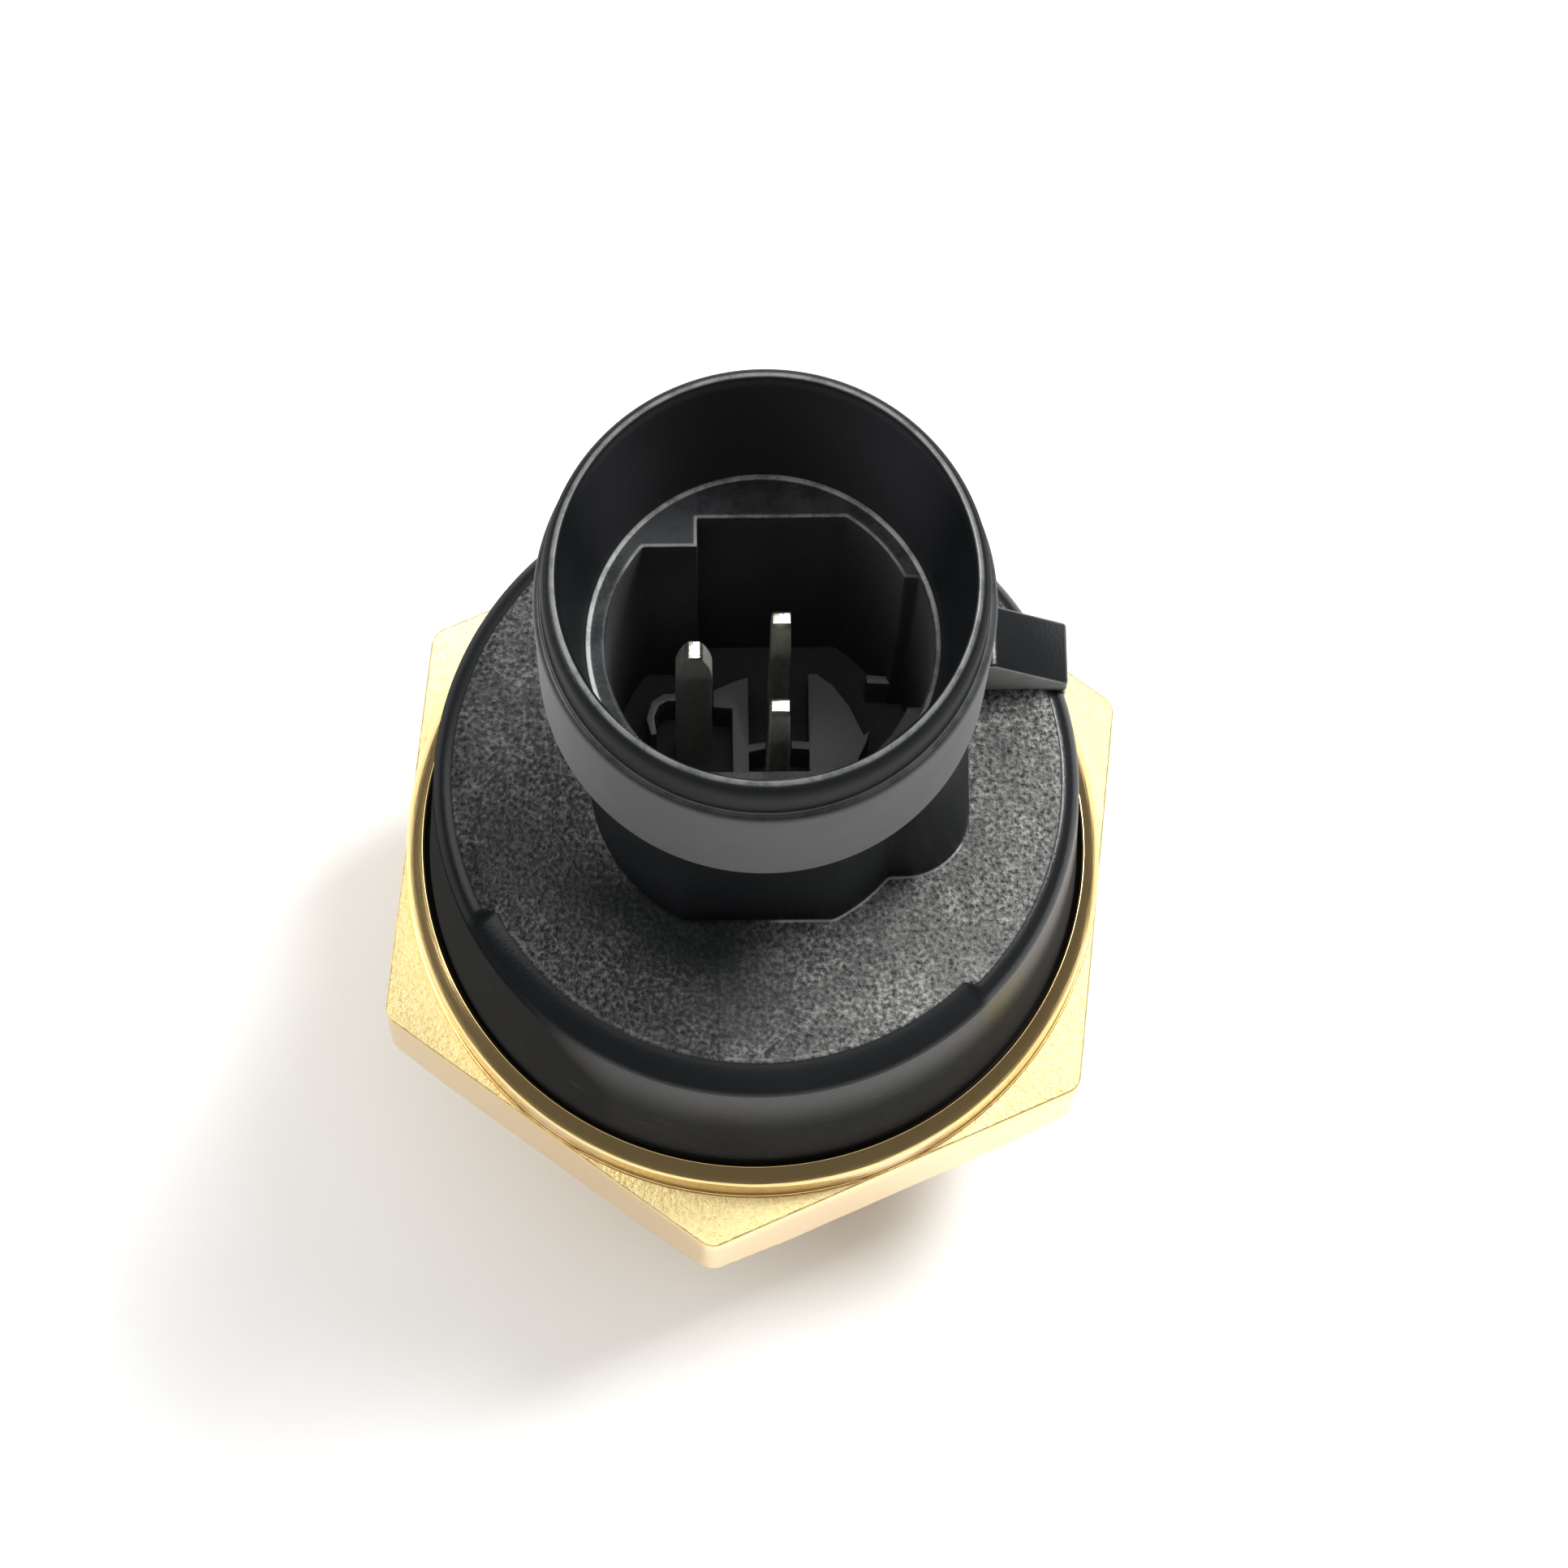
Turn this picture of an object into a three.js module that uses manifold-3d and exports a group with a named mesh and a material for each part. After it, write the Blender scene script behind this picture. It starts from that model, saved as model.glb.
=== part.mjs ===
// A hex-bodied pressure switch: a brass port body with a rolled rim holds a moulded connector housing,
// and a diaphragm, piston, snap disc and pin inside it work a changeover contact.
// Millimetres, +Z up. The origin is the middle of the threaded end; the axis of the switch is Z.
import * as THREE from 'three';
import { mergeVertices } from 'three/addons/utils/BufferGeometryUtils.js';
import Module from 'manifold-3d';

const wasm = await Module();
wasm.setup();

// Driving dimensions
const ROUND = 48;                 // facets round a large turned piece
const SMALL_ROUND = 24;           // facets round a small turned piece
const GAP = 0.3;                  // clearance round a blade that passes through moulded plastic

const THREAD_R = 6.58;            // quarter-inch parallel pipe thread, outside
const THREAD_ROOT_R = 5.72;
const THREAD_PITCH = 1.337;
const THREAD_TURNS = 6;
const THREAD_START_Z = 1.2;
const PORT_LENGTH = 12;           // threaded end to the underside of the hex
const UNDERCUT_R = 5.5;
const UNDERCUT_LENGTH = 2.4;

const HEX_FLATS = 31.75;          // 1 1/4 inch across flats
const HEX_HEIGHT = 6;
const HEX_TURN = 23.3;            // degrees from +X to the first corner
const HEX_CORNER_ROUND = 0.9;
const HEX_TOP_Z = PORT_LENGTH + HEX_HEIGHT;

const RIM_R = 15.75;              // rolled rim, outside
const RIM_INNER_R = 14.88;
const RIM_TOP_Z = HEX_TOP_Z + 2.65;
const RIM_LIP = 0.9;              // thickness of the rolled edge over the flange
const CUP_R = 15.2;
const CUP_FLOOR_Z = 14.6;

const PORT_BORE_R = 3.1;
const PORT_BORE_DEPTH = 9;
const FEED_R = 1.2;
const CHAMBER_R = 8;
const CHAMBER_FLOOR_Z = 13.6;
const SEAL_GROOVE_R = 9.4;
const SEAL_GROOVE_HALF = 0.6;

const PLATE_Z = 15.05;            // underside of the guide plate
const PLATE_TOP_Z = 16.85;
const PLATE_BORE_R = 4;
const PLATE_RELIEF_R = 8.5;

const FLANGE_R = 15.1;            // foot of the housing, under the rolled rim
const FLANGE_Z = 17;
const FLANGE_TOP_Z = 19.6;
const CAP_FOOT_R = 14.7;          // the cap's wall leans in a little as it rises
const CAP_R = 14.02;
const CAP_TOP_Z = HEX_TOP_Z + 13.5;
const CAP_ROUND = 1.3;
const ROOM_R = 12;                // contact chamber inside the cap
const ROOM_TOP_Z = 29.3;

const NECK_R = 7.25;
const NECK_FLAT_Y = 6.5;
const WING_X = 9.15;              // stiff wing that holds the keyway, at its foot
const WING_TOP_X = 8.35;
const WING_Y = 4.6;
const WING_ROUND = 2.2;
const COLLAR_R = 9.05;
const COLLAR_Z = HEX_TOP_Z + 30.6;
const SHOULDER_Z = HEX_TOP_Z + 38.5;
const LIP_R = 8.72;
const LIP_EDGE_R = 8.25;          // where its rounded edge meets the mouth's rim
const MOUTH_Z = HEX_TOP_Z + 41.1;
const MOUTH_R = 8.05;
const LEDGE_Z = HEX_TOP_Z + 32.6;
const LEDGE_OUTER_R = 6.85;
const WELL_R = 6.3;
const WELL_FLAT_Y = 5.3;
const WELL_STEP_X = -2.6;         // left of this the rear flat stands further in
const WELL_STEP_Y = 4.1;
const WELL_FLOOR_Z = HEX_TOP_Z + 18.4;
const CELL_DEPTH = 2;
const KEYWAY_Y = 2.7;

const BLADE_WIDE = 1.5;
const BLADE_THICK = 0.8;
const BLADE_TIP = 0.5;
const BLADE_TIP_LENGTH = 1.7;
const BLADE_TIP_Z = HEX_TOP_Z + 30.4;
const COMMON_AT = [-2.76, 0.45];
const OPEN_AT = [0.8, 1.75];
const CLOSED_AT = [0.7, -1.95];

const ARM_Z = 22.6;
const ARM_THICK = 0.3;
const ARM_HALF_WIDTH = 2;
const ARM_BACK_X = -8.6;
const ARM_FRONT_X = 6.7;
const CONTACT_X = 5.5;
const CONTACT_R = 1.2;
const RIVET_X = -7.4;

const material = (color, roughness, metalness) => new THREE.MeshStandardMaterial({ color, roughness, metalness });
const brass = material(0xd8b565, 0.35, 1);
const sinteredBronze = material(0x9c7a4a, 0.7, 1);
const blackPlastic = material(0x1b1d20, 0.55, 0);
const baseResin = material(0x5b2d1c, 0.5, 0);
const sealRubber = material(0x111111, 0.8, 0);
const film = material(0xc48a2a, 0.4, 0);
const steel = material(0xb9bcc0, 0.3, 1);
const springSteel = material(0xc9cdd2, 0.25, 1);
const pinCeramic = material(0xefece2, 0.5, 0);
const leafBronze = material(0xb87a4b, 0.35, 1);
const silver = material(0xdedede, 0.3, 1);
const tinned = material(0xd9cfae, 0.3, 1);
const sealant = material(0x24211e, 0.4, 0);

// Solids

const asSolid = (geometry) => {
  const bare = geometry.clone();
  bare.deleteAttribute('normal');
  bare.deleteAttribute('uv');
  const merged = mergeVertices(bare, 1e-4);
  const index = merged.index.array;
  const faces = [];
  for (let i = 0; i < index.length; i += 3) {
    const [a, b, c] = [index[i], index[i + 1], index[i + 2]];
    if (a !== b && b !== c && c !== a) faces.push(a, b, c);
  }
  const vertProperties = new Float32Array(merged.attributes.position.array);
  return new wasm.Manifold(new wasm.Mesh({ numProp: 3, vertProperties, triVerts: new Uint32Array(faces) }));
};

const joined = (...solids) => solids.reduce((whole, next) => whole.add(next));
const cut = (solid, ...tools) => tools.reduce((rest, tool) => rest.subtract(tool), solid);

const asMesh = (name, solid, look) => {
  const { vertProperties, triVerts } = solid.getMesh();
  const geometry = new THREE.BufferGeometry();
  geometry.setAttribute('position', new THREE.BufferAttribute(new Float32Array(vertProperties), 3));
  geometry.setIndex(new THREE.BufferAttribute(new Uint32Array(triVerts), 1));
  geometry.computeVertexNormals();
  const mesh = new THREE.Mesh(geometry, look);
  mesh.name = name;
  return mesh;
};

// A turned piece: [radius, z] points that run up the outside; a bored piece's outline closes on itself.
const turned = (profile, facets = ROUND) => {
  const bored = profile.every(([r]) => r > 0);
  const outline = bored ? [...profile, profile[0]] : profile;
  const geometry = new THREE.LatheGeometry(outline.map(([r, z]) => new THREE.Vector2(r, z)), facets);
  return asSolid(geometry.rotateX(Math.PI / 2));
};

const tube = (innerR, outerR, z0, z1, facets = ROUND) =>
  turned([[innerR, z0], [outerR, z0], [outerR, z1], [innerR, z1]], facets);

const rod = (r, z0, z1, facets = SMALL_ROUND) => turned([[0, z0], [r, z0], [r, z1], [0, z1]], facets);

const block = (x0, x1, y0, y1, z0, z1) => {
  const geometry = new THREE.BoxGeometry(x1 - x0, y1 - y0, z1 - z0);
  return asSolid(geometry.translate((x0 + x1) / 2, (y0 + y1) / 2, (z0 + z1) / 2));
};

// Points round an arc, angles in degrees.
const arc = (cx, cy, r, from, to, steps) =>
  Array.from({ length: steps + 1 }, (_, i) => {
    const angle = THREE.MathUtils.degToRad(from + (to - from) * i / steps);
    return [cx + r * Math.cos(angle), cy + r * Math.sin(angle)];
  });

// An outline in the XY plane, raised from z0 to z1.
const raised = (outline, z0, z1) => {
  const shape = new THREE.Shape(outline.map(([x, y]) => new THREE.Vector2(x, y)));
  return asSolid(new THREE.ExtrudeGeometry(shape, { depth: z1 - z0, bevelEnabled: false }).translate(0, 0, z0));
};

// An outline in the XZ plane, given thickness from y0 to y1.
const sideways = (outline, y0, y1) => {
  const shape = new THREE.Shape(outline.map(([x, z]) => new THREE.Vector2(x, z)));
  const geometry = new THREE.ExtrudeGeometry(shape, { depth: y1 - y0, bevelEnabled: false });
  return asSolid(geometry.rotateX(Math.PI / 2).translate(0, y1, 0));
};

const sealRing = (centreR, z, sectionR, sides = 8) => {
  const section = arc(centreR, z, sectionR, 0, 360 * (sides - 1) / sides, sides - 1);
  return turned(section);
};

// Port body

const hexagon = () => {
  const cornerR = HEX_FLATS / Math.sqrt(3);
  const inset = HEX_CORNER_ROUND / Math.cos(Math.PI / 6);
  const outline = [];
  for (let k = 0; k < 6; k += 1) {
    const turn = HEX_TURN + 60 * k;
    const angle = THREE.MathUtils.degToRad(turn);
    const centre = [(cornerR - inset) * Math.cos(angle), (cornerR - inset) * Math.sin(angle)];
    outline.push(...arc(centre[0], centre[1], HEX_CORNER_ROUND, turn - 30, turn + 30, 3));
  }
  return outline;
};

const threadProfile = () => {
  const points = [[0, 0], [THREAD_ROOT_R - 0.5, 0], [THREAD_ROOT_R, THREAD_START_Z - 0.4]];
  for (let k = 0; k < THREAD_TURNS; k += 1) {
    const z = THREAD_START_Z + k * THREAD_PITCH;
    points.push([THREAD_ROOT_R, z]);
    points.push([THREAD_R, z + THREAD_PITCH * 0.4]);
    points.push([THREAD_R, z + THREAD_PITCH * 0.6]);
  }
  return points;
};

const makePortBody = () => {
  const hexPrism = raised(hexagon(), PORT_LENGTH, HEX_TOP_Z);
  const chamfer = turned([[0, PORT_LENGTH], [HEX_FLATS / 2 + 0.8, PORT_LENGTH],
    [HEX_FLATS / 2 + 3, PORT_LENGTH + 1.1], [HEX_FLATS / 2 + 3, HEX_TOP_Z], [0, HEX_TOP_Z]]);
  const undercutZ = PORT_LENGTH - UNDERCUT_LENGTH;
  const rimRound = RIM_R - RIM_INNER_R;
  const rimCrown = arc(RIM_R - rimRound, RIM_TOP_Z - rimRound, rimRound, 0, 80, 4);
  const stem = turned([...threadProfile(), [THREAD_ROOT_R, undercutZ], [UNDERCUT_R, undercutZ],
    [UNDERCUT_R, PORT_LENGTH + 0.5], [RIM_R, PORT_LENGTH + 0.5], ...rimCrown, [0, RIM_TOP_Z]]);
  const hollow = turned([[0, -1], [PORT_BORE_R, -1], [PORT_BORE_R, PORT_BORE_DEPTH],
    [FEED_R, PORT_BORE_DEPTH], [FEED_R, CHAMBER_FLOOR_Z], [CHAMBER_R, CHAMBER_FLOOR_Z],
    [CHAMBER_R, CUP_FLOOR_Z], [CUP_R, CUP_FLOOR_Z], [CUP_R, RIM_TOP_Z - RIM_LIP],
    [RIM_INNER_R, RIM_TOP_Z - RIM_LIP], [RIM_INNER_R, RIM_TOP_Z + 1], [0, RIM_TOP_Z + 1]]);
  const sealGroove = tube(SEAL_GROOVE_R - SEAL_GROOVE_HALF, SEAL_GROOVE_R + SEAL_GROOVE_HALF,
    CHAMBER_FLOOR_Z, CUP_FLOOR_Z + 0.2);
  return asMesh('port_body', cut(joined(hexPrism.intersect(chamfer), stem), hollow, sealGroove), brass);
};

const makePortSealRing = () => {
  const sectionR = 0.95;
  return asMesh('port_seal_ring', sealRing(UNDERCUT_R + sectionR + 0.15, PORT_LENGTH - sectionR - 0.1, sectionR),
    sealRubber);
};

const makeInletSnubber = () =>
  asMesh('inlet_snubber', tube(0.6, PORT_BORE_R - 0.1, PORT_BORE_DEPTH - 1.6, PORT_BORE_DEPTH - 0.1), sinteredBronze);

// Pressure side

const makeDiaphragmSeal = () =>
  asMesh('diaphragm_seal', sealRing(SEAL_GROOVE_R, CUP_FLOOR_Z - 0.46, 0.5), sealRubber);

const makeDiaphragm = () => {
  const z = CUP_FLOOR_Z + 0.1;
  const thick = 0.2;
  const wave = 0.35;            // height of the rolled convolution
  return asMesh('diaphragm', turned([[0, z], [4.6, z], [5.4, z + wave], [6.4, z + wave], [7.2, z], [11, z],
    [11, z + thick], [7.4, z + thick], [6.6, z + wave + thick], [5.2, z + wave + thick], [4.4, z + thick],
    [0, z + thick]]), film);
};

const makeGuidePlate = () =>
  asMesh('guide_plate', turned([[PLATE_RELIEF_R, PLATE_Z], [FLANGE_R - 0.2, PLATE_Z], [FLANGE_R - 0.2, PLATE_TOP_Z],
    [PLATE_BORE_R, PLATE_TOP_Z], [PLATE_BORE_R, PLATE_Z + 0.6], [PLATE_RELIEF_R, PLATE_Z + 0.6]]), steel);

const makePiston = () =>
  asMesh('pressure_piston', turned([[0, PLATE_Z], [PLATE_BORE_R - 0.1, PLATE_Z], [PLATE_BORE_R - 0.1, PLATE_TOP_Z],
    [PLATE_BORE_R - 0.5, PLATE_TOP_Z + 0.2], [1.5, PLATE_TOP_Z + 0.2], [1.2, PLATE_TOP_Z + 0.5],
    [0, PLATE_TOP_Z + 0.5]]), steel);

const DISC_R = 7;
const DISC_RISE = 0.5;
const DISC_THICK = 0.25;
const DISC_Z = PLATE_TOP_Z + 0.1;

const makeSnapDisc = () => {
  const steps = 4;
  const under = Array.from({ length: steps + 1 }, (_, i) => {
    const r = DISC_R * i / steps;
    return [r, DISC_Z + DISC_RISE * (1 - (r / DISC_R) ** 2)];
  });
  const over = under.map(([r, z]) => [r, z + DISC_THICK]).reverse();
  return asMesh('snap_disc', turned([...under, ...over]), springSteel);
};

const makeDiscRetainer = () =>
  asMesh('disc_retainer', turned([[DISC_R + 0.3, DISC_Z], [ROOM_R - 0.2, DISC_Z], [ROOM_R - 0.2, DISC_Z + 1],
    [DISC_R - 1, DISC_Z + 1], [DISC_R - 1, DISC_Z + 0.65], [DISC_R + 0.3, DISC_Z + 0.65]]), steel);

const PIN_R = 1.45;
const PIN_Z = DISC_Z + DISC_RISE + DISC_THICK + 0.1;
const BASE_Z = DISC_Z + 1.1;
const BASE_TOP_Z = BASE_Z + 2;

const makePushPin = () =>
  asMesh('push_pin', turned([[0, PIN_Z], [2.6, PIN_Z], [2.6, PIN_Z + 0.5], [PIN_R, PIN_Z + 0.5],
    [PIN_R, ARM_Z - 0.6], [0.7, ARM_Z - 0.1], [0, ARM_Z - 0.1]], SMALL_ROUND), pinCeramic);

// Contacts

const makeContactBase = () => {
  const disc = rod(ROOM_R - 0.2, BASE_Z, BASE_TOP_Z, ROUND);
  const tower = rod(3, BASE_TOP_Z - 0.5, ARM_Z - 1);
  const post = block(-9.8, -6.6, -2.4, 2.4, BASE_TOP_Z - 0.5, ARM_Z - 0.2);
  const rest = block(CONTACT_X - CONTACT_R, CONTACT_X + CONTACT_R, -4.6, 1.2, BASE_TOP_Z - 0.5, ARM_Z - 1.75);
  const pinBore = rod(PIN_R + 0.15, BASE_Z - 1, ARM_Z);
  const pinRecess = rod(3, BASE_Z - 1, BASE_Z + 1);
  const rivetBore = rod(0.9, ARM_Z - 2, ARM_Z + 1).translate([RIVET_X, 0, 0]);
  return asMesh('contact_base', cut(joined(disc, tower, post, rest), pinBore, pinRecess, rivetBore), baseResin);
};

const makeContactArm = () => {
  const leaf = block(ARM_BACK_X, ARM_FRONT_X, -ARM_HALF_WIDTH, ARM_HALF_WIDTH, ARM_Z, ARM_Z + ARM_THICK);
  const rivetHole = rod(1, ARM_Z - 1, ARM_Z + 1).translate([RIVET_X, 0, 0]);
  const contactHole = rod(0.95, ARM_Z - 1, ARM_Z + 1).translate([CONTACT_X, 0, 0]);
  return asMesh('contact_arm', cut(leaf, rivetHole, contactHole), leafBronze);
};

const makeArmRivet = () =>
  asMesh('arm_rivet', turned([[0, ARM_Z - 1.8], [0.65, ARM_Z - 1.8], [0.65, ARM_Z + 0.6], [1.4, ARM_Z + 0.6],
    [1.1, ARM_Z + 1.1], [0, ARM_Z + 1.1]], SMALL_ROUND).translate([RIVET_X, 0, 0]), steel);

const makeMovingContact = () =>
  asMesh('moving_contact', turned([[0, ARM_Z - 0.4], [CONTACT_R - 0.2, ARM_Z - 0.4], [CONTACT_R, ARM_Z - 0.1],
    [0.65, ARM_Z - 0.1], [0.65, ARM_Z + ARM_THICK + 0.1], [CONTACT_R, ARM_Z + ARM_THICK + 0.1],
    [CONTACT_R - 0.2, ARM_Z + ARM_THICK + 0.4], [0, ARM_Z + ARM_THICK + 0.4]], SMALL_ROUND)
    .translate([CONTACT_X, 0, 0]), silver);

const CLOSED_PLATE_Z = ARM_Z - 1.7;
const OPEN_PLATE_Z = ARM_Z + 3.1;
const SHELF_Z = 26.1;             // level at which the three conductors run sideways
const STRIP = 0.5;

const makeClosedContact = () =>
  asMesh('closed_contact', rod(CONTACT_R, CLOSED_PLATE_Z + STRIP + 0.05, ARM_Z - 0.45)
    .translate([CONTACT_X, 0, 0]), silver);

const makeOpenContact = () =>
  asMesh('open_contact', rod(CONTACT_R, ARM_Z + 1.7, OPEN_PLATE_Z - 0.05).translate([CONTACT_X, 0, 0]), silver);

// Terminals: each blade stands in the socket and its tail runs to its contact.

const blade = ([x, y], wideAlongX, bottomZ) => {
  const halfWide = BLADE_WIDE / 2;
  const halfTip = BLADE_TIP / 2;
  const cheek = [0.88 * halfWide, BLADE_TIP_Z - BLADE_TIP_LENGTH / 2];
  const outline = [[-halfWide, bottomZ], [halfWide, bottomZ], [halfWide, BLADE_TIP_Z - BLADE_TIP_LENGTH],
    cheek, [halfTip, BLADE_TIP_Z], [-halfTip, BLADE_TIP_Z], [-cheek[0], cheek[1]],
    [-halfWide, BLADE_TIP_Z - BLADE_TIP_LENGTH]];
  const standing = sideways(outline, -BLADE_THICK / 2, BLADE_THICK / 2);
  return (wideAlongX ? standing : standing.rotate([0, 0, 90])).translate([x, y, 0]);
};

const makeCommonTerminal = () => {
  const [x, y] = COMMON_AT;
  const [y0, y1] = [y - BLADE_THICK / 2, y + BLADE_THICK / 2];
  const run = block(-9.6, x + BLADE_WIDE / 2, y0, y1, SHELF_Z - 0.7, SHELF_Z + 0.4);
  const foot = block(-9.6, -8.9, y0, y1, ARM_Z + ARM_THICK + 0.1, SHELF_Z);
  const toe = block(-9.6, -8.9, -1.8, 1.8, ARM_Z - 0.15, ARM_Z + ARM_THICK + 0.4);
  return asMesh('common_terminal', joined(blade(COMMON_AT, true, SHELF_Z), run, foot, toe), tinned);
};

const makeOpenTerminal = () => {
  const [x, y] = OPEN_AT;
  const halfWide = BLADE_WIDE / 2;
  const shelf = block(x - BLADE_THICK / 2, CONTACT_X + CONTACT_R, -0.5, y + halfWide, SHELF_Z - 0.4, SHELF_Z + 0.1);
  const pad = block(CONTACT_X - CONTACT_R, CONTACT_X + CONTACT_R, -CONTACT_R, 1.5, OPEN_PLATE_Z, SHELF_Z);
  return asMesh('open_terminal', joined(blade(OPEN_AT, false, SHELF_Z - 0.4), shelf, pad), tinned);
};

const makeClosedTerminal = () => {
  const [x, y] = CLOSED_AT;
  const legY = -4.6;
  const [padX0, padX1] = [CONTACT_X - CONTACT_R, CONTACT_X + CONTACT_R];
  const shelf = block(x - BLADE_THICK / 2, padX1, legY, y + BLADE_WIDE / 2 - 0.6, SHELF_Z + 0.6, SHELF_Z + 1.1);
  const leg = block(padX0, padX1, legY, legY + STRIP, CLOSED_PLATE_Z, SHELF_Z + 1.1);
  const pad = block(padX0, padX1, legY, CONTACT_R, CLOSED_PLATE_Z, CLOSED_PLATE_Z + STRIP);
  return asMesh('closed_terminal', joined(blade(CLOSED_AT, false, SHELF_Z + 0.6), shelf, leg, pad), tinned);
};

const bladeSlot = ([x, y], wideAlongX, z0, z1) => {
  const halfX = (wideAlongX ? BLADE_WIDE : BLADE_THICK) / 2 + GAP;
  const halfY = (wideAlongX ? BLADE_THICK : BLADE_WIDE) / 2 + GAP;
  return block(x - halfX, x + halfX, y - halfY, y + halfY, z0, z1);
};

const bladeSlots = (z0, z1) => [
  bladeSlot(COMMON_AT, true, z0, z1),
  bladeSlot(OPEN_AT, false, z0, z1),
  bladeSlot(CLOSED_AT, false, z0, z1),
];

const makeTerminalSealant = () => {
  const layer = rod(ROOM_R - 0.2, SHELF_Z + 1.5, ROOM_TOP_Z - 0.1, ROUND);
  return asMesh('terminal_sealant', cut(layer, ...bladeSlots(SHELF_Z, ROOM_TOP_Z)), sealant);
};

// Housing

const makeHousingSeal = () => asMesh('housing_seal', sealRing(13.6, FLANGE_Z + 0.45, 0.48), sealRubber);

// Neck outline: a round stem with a flat front and rear, and a square wing on the keyway side.
const neckOutline = () => {
  const flatAngle = THREE.MathUtils.radToDeg(Math.asin(NECK_FLAT_Y / NECK_R));
  const joinAngle = THREE.MathUtils.radToDeg(Math.asin(WING_Y / NECK_R));
  const cornerX = WING_X - WING_ROUND;
  const cornerY = WING_Y - WING_ROUND;
  return [
    ...arc(0, 0, NECK_R, joinAngle, flatAngle, 2),
    ...arc(0, 0, NECK_R, 180 - flatAngle, 180 + flatAngle, 14),
    ...arc(0, 0, NECK_R, 360 - flatAngle, 360 - joinAngle, 2),
    ...arc(cornerX, -cornerY, WING_ROUND, 270, 360, 4),
    ...arc(cornerX, cornerY, WING_ROUND, 0, 90, 4),
  ];
};

// Well outline: round, with flats, and the keyway that runs down its right side.
const wellOutline = () => {
  const degrees = (radians) => THREE.MathUtils.radToDeg(radians);
  const flatAngle = degrees(Math.asin(WELL_FLAT_Y / WELL_R));
  const keyAngle = degrees(Math.asin(KEYWAY_Y / WELL_R));
  const outerKeyAngle = degrees(Math.asin(KEYWAY_Y / (LEDGE_OUTER_R - 0.1)));
  const stepAngle = 180 - degrees(Math.asin(WELL_STEP_Y / WELL_R));
  return [
    ...arc(0, 0, WELL_R, keyAngle, flatAngle, 3),
    [WELL_STEP_X, WELL_FLAT_Y],
    [WELL_STEP_X, WELL_STEP_Y],
    ...arc(0, 0, WELL_R, stepAngle, 180 + flatAngle, 10),
    ...arc(0, 0, WELL_R, 360 - flatAngle, 360 - keyAngle, 3),
    ...arc(0, 0, LEDGE_OUTER_R - 0.1, -outerKeyAngle, outerKeyAngle, 4),
  ];
};

const makeConnectorHousing = () => {
  const shoulder = arc(CAP_R - CAP_ROUND, CAP_TOP_Z - CAP_ROUND, CAP_ROUND, 0, 90, 4);
  const cap = turned([[0, FLANGE_Z], [FLANGE_R, FLANGE_Z], [FLANGE_R, FLANGE_TOP_Z], [CAP_FOOT_R, FLANGE_TOP_Z],
    ...shoulder, [0, CAP_TOP_Z]]);
  const [neckZ0, neckZ1] = [CAP_TOP_Z - 1, COLLAR_Z + 0.5];
  const draft = sideways([[-WING_X, neckZ0], [WING_X, neckZ0], [WING_TOP_X, neckZ1], [-WING_X, neckZ1]],
    -WING_X, WING_X);
  const neck = raised(neckOutline(), neckZ0, neckZ1).intersect(draft);
  const collar = turned([[0, COLLAR_Z], [COLLAR_R - 0.2, COLLAR_Z], [COLLAR_R, COLLAR_Z + 0.2],
    [COLLAR_R, SHOULDER_Z - 0.3], [LIP_R, SHOULDER_Z + 0.1], [LIP_R, MOUTH_Z - 1.1], [LIP_R - 0.15, MOUTH_Z - 0.45],
    [LIP_EDGE_R, MOUTH_Z], [0, MOUTH_Z]]);
  const [lugX0, lugX1, lugY0, lugY1] = [8.8, 13.6, 3.8, 6.6];
  const lugTopZ = CAP_TOP_Z + 3.4;
  const lug = sideways([[lugX0, CAP_TOP_Z - 2], [lugX1, CAP_TOP_Z - 2], [lugX1, CAP_TOP_Z + 0.8],
    [10.3, lugTopZ], [lugX0, lugTopZ]], lugY0, lugY1);
  const indexPad = block(7, lugX0 + 0.4, WING_Y - 2.5, lugY1, CAP_TOP_Z - 1, lugTopZ);
  const shell = joined(cap, neck, collar, lug, indexPad);

  const room = rod(ROOM_R, FLANGE_Z - 1, ROOM_TOP_Z, ROUND);
  const sealSeat = tube(12.9, 14.3, FLANGE_Z - 1, FLANGE_Z + 1);
  const mouth = turned([[0, LEDGE_Z], [LEDGE_OUTER_R, LEDGE_Z], [MOUTH_R - 0.15, MOUTH_Z - 0.4],
    [MOUTH_R + 0.08, MOUTH_Z + 0.1], [0, MOUTH_Z + 0.1]]);
  const well = raised(wellOutline(), WELL_FLOOR_Z, LEDGE_Z + 0.5);
  const cells = [
    block(COMMON_AT[0] - 1.3, COMMON_AT[0] + 0.9, -1.9, 2.2, WELL_FLOOR_Z - CELL_DEPTH, WELL_FLOOR_Z + 1),
    block(OPEN_AT[0] - 1.25, OPEN_AT[0] + 1.25, 0.2, 3.5, WELL_FLOOR_Z - CELL_DEPTH, WELL_FLOOR_Z + 1),
    block(CLOSED_AT[0] - 1.25, CLOSED_AT[0] + 1.25, -3.5, -0.2, WELL_FLOOR_Z - CELL_DEPTH, WELL_FLOOR_Z + 1),
  ];
  const keyRib = block(4.6, LEDGE_OUTER_R, 1.6, 2.1, WELL_FLOOR_Z - 0.5, WELL_FLOOR_Z + 3.6);
  const bored = cut(shell, room, sealSeat, mouth, well, ...cells, ...bladeSlots(ROOM_TOP_Z - 1, WELL_FLOOR_Z));
  return asMesh('connector_housing', joined(bored, keyRib), blackPlastic);
};

// The assembly

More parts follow.
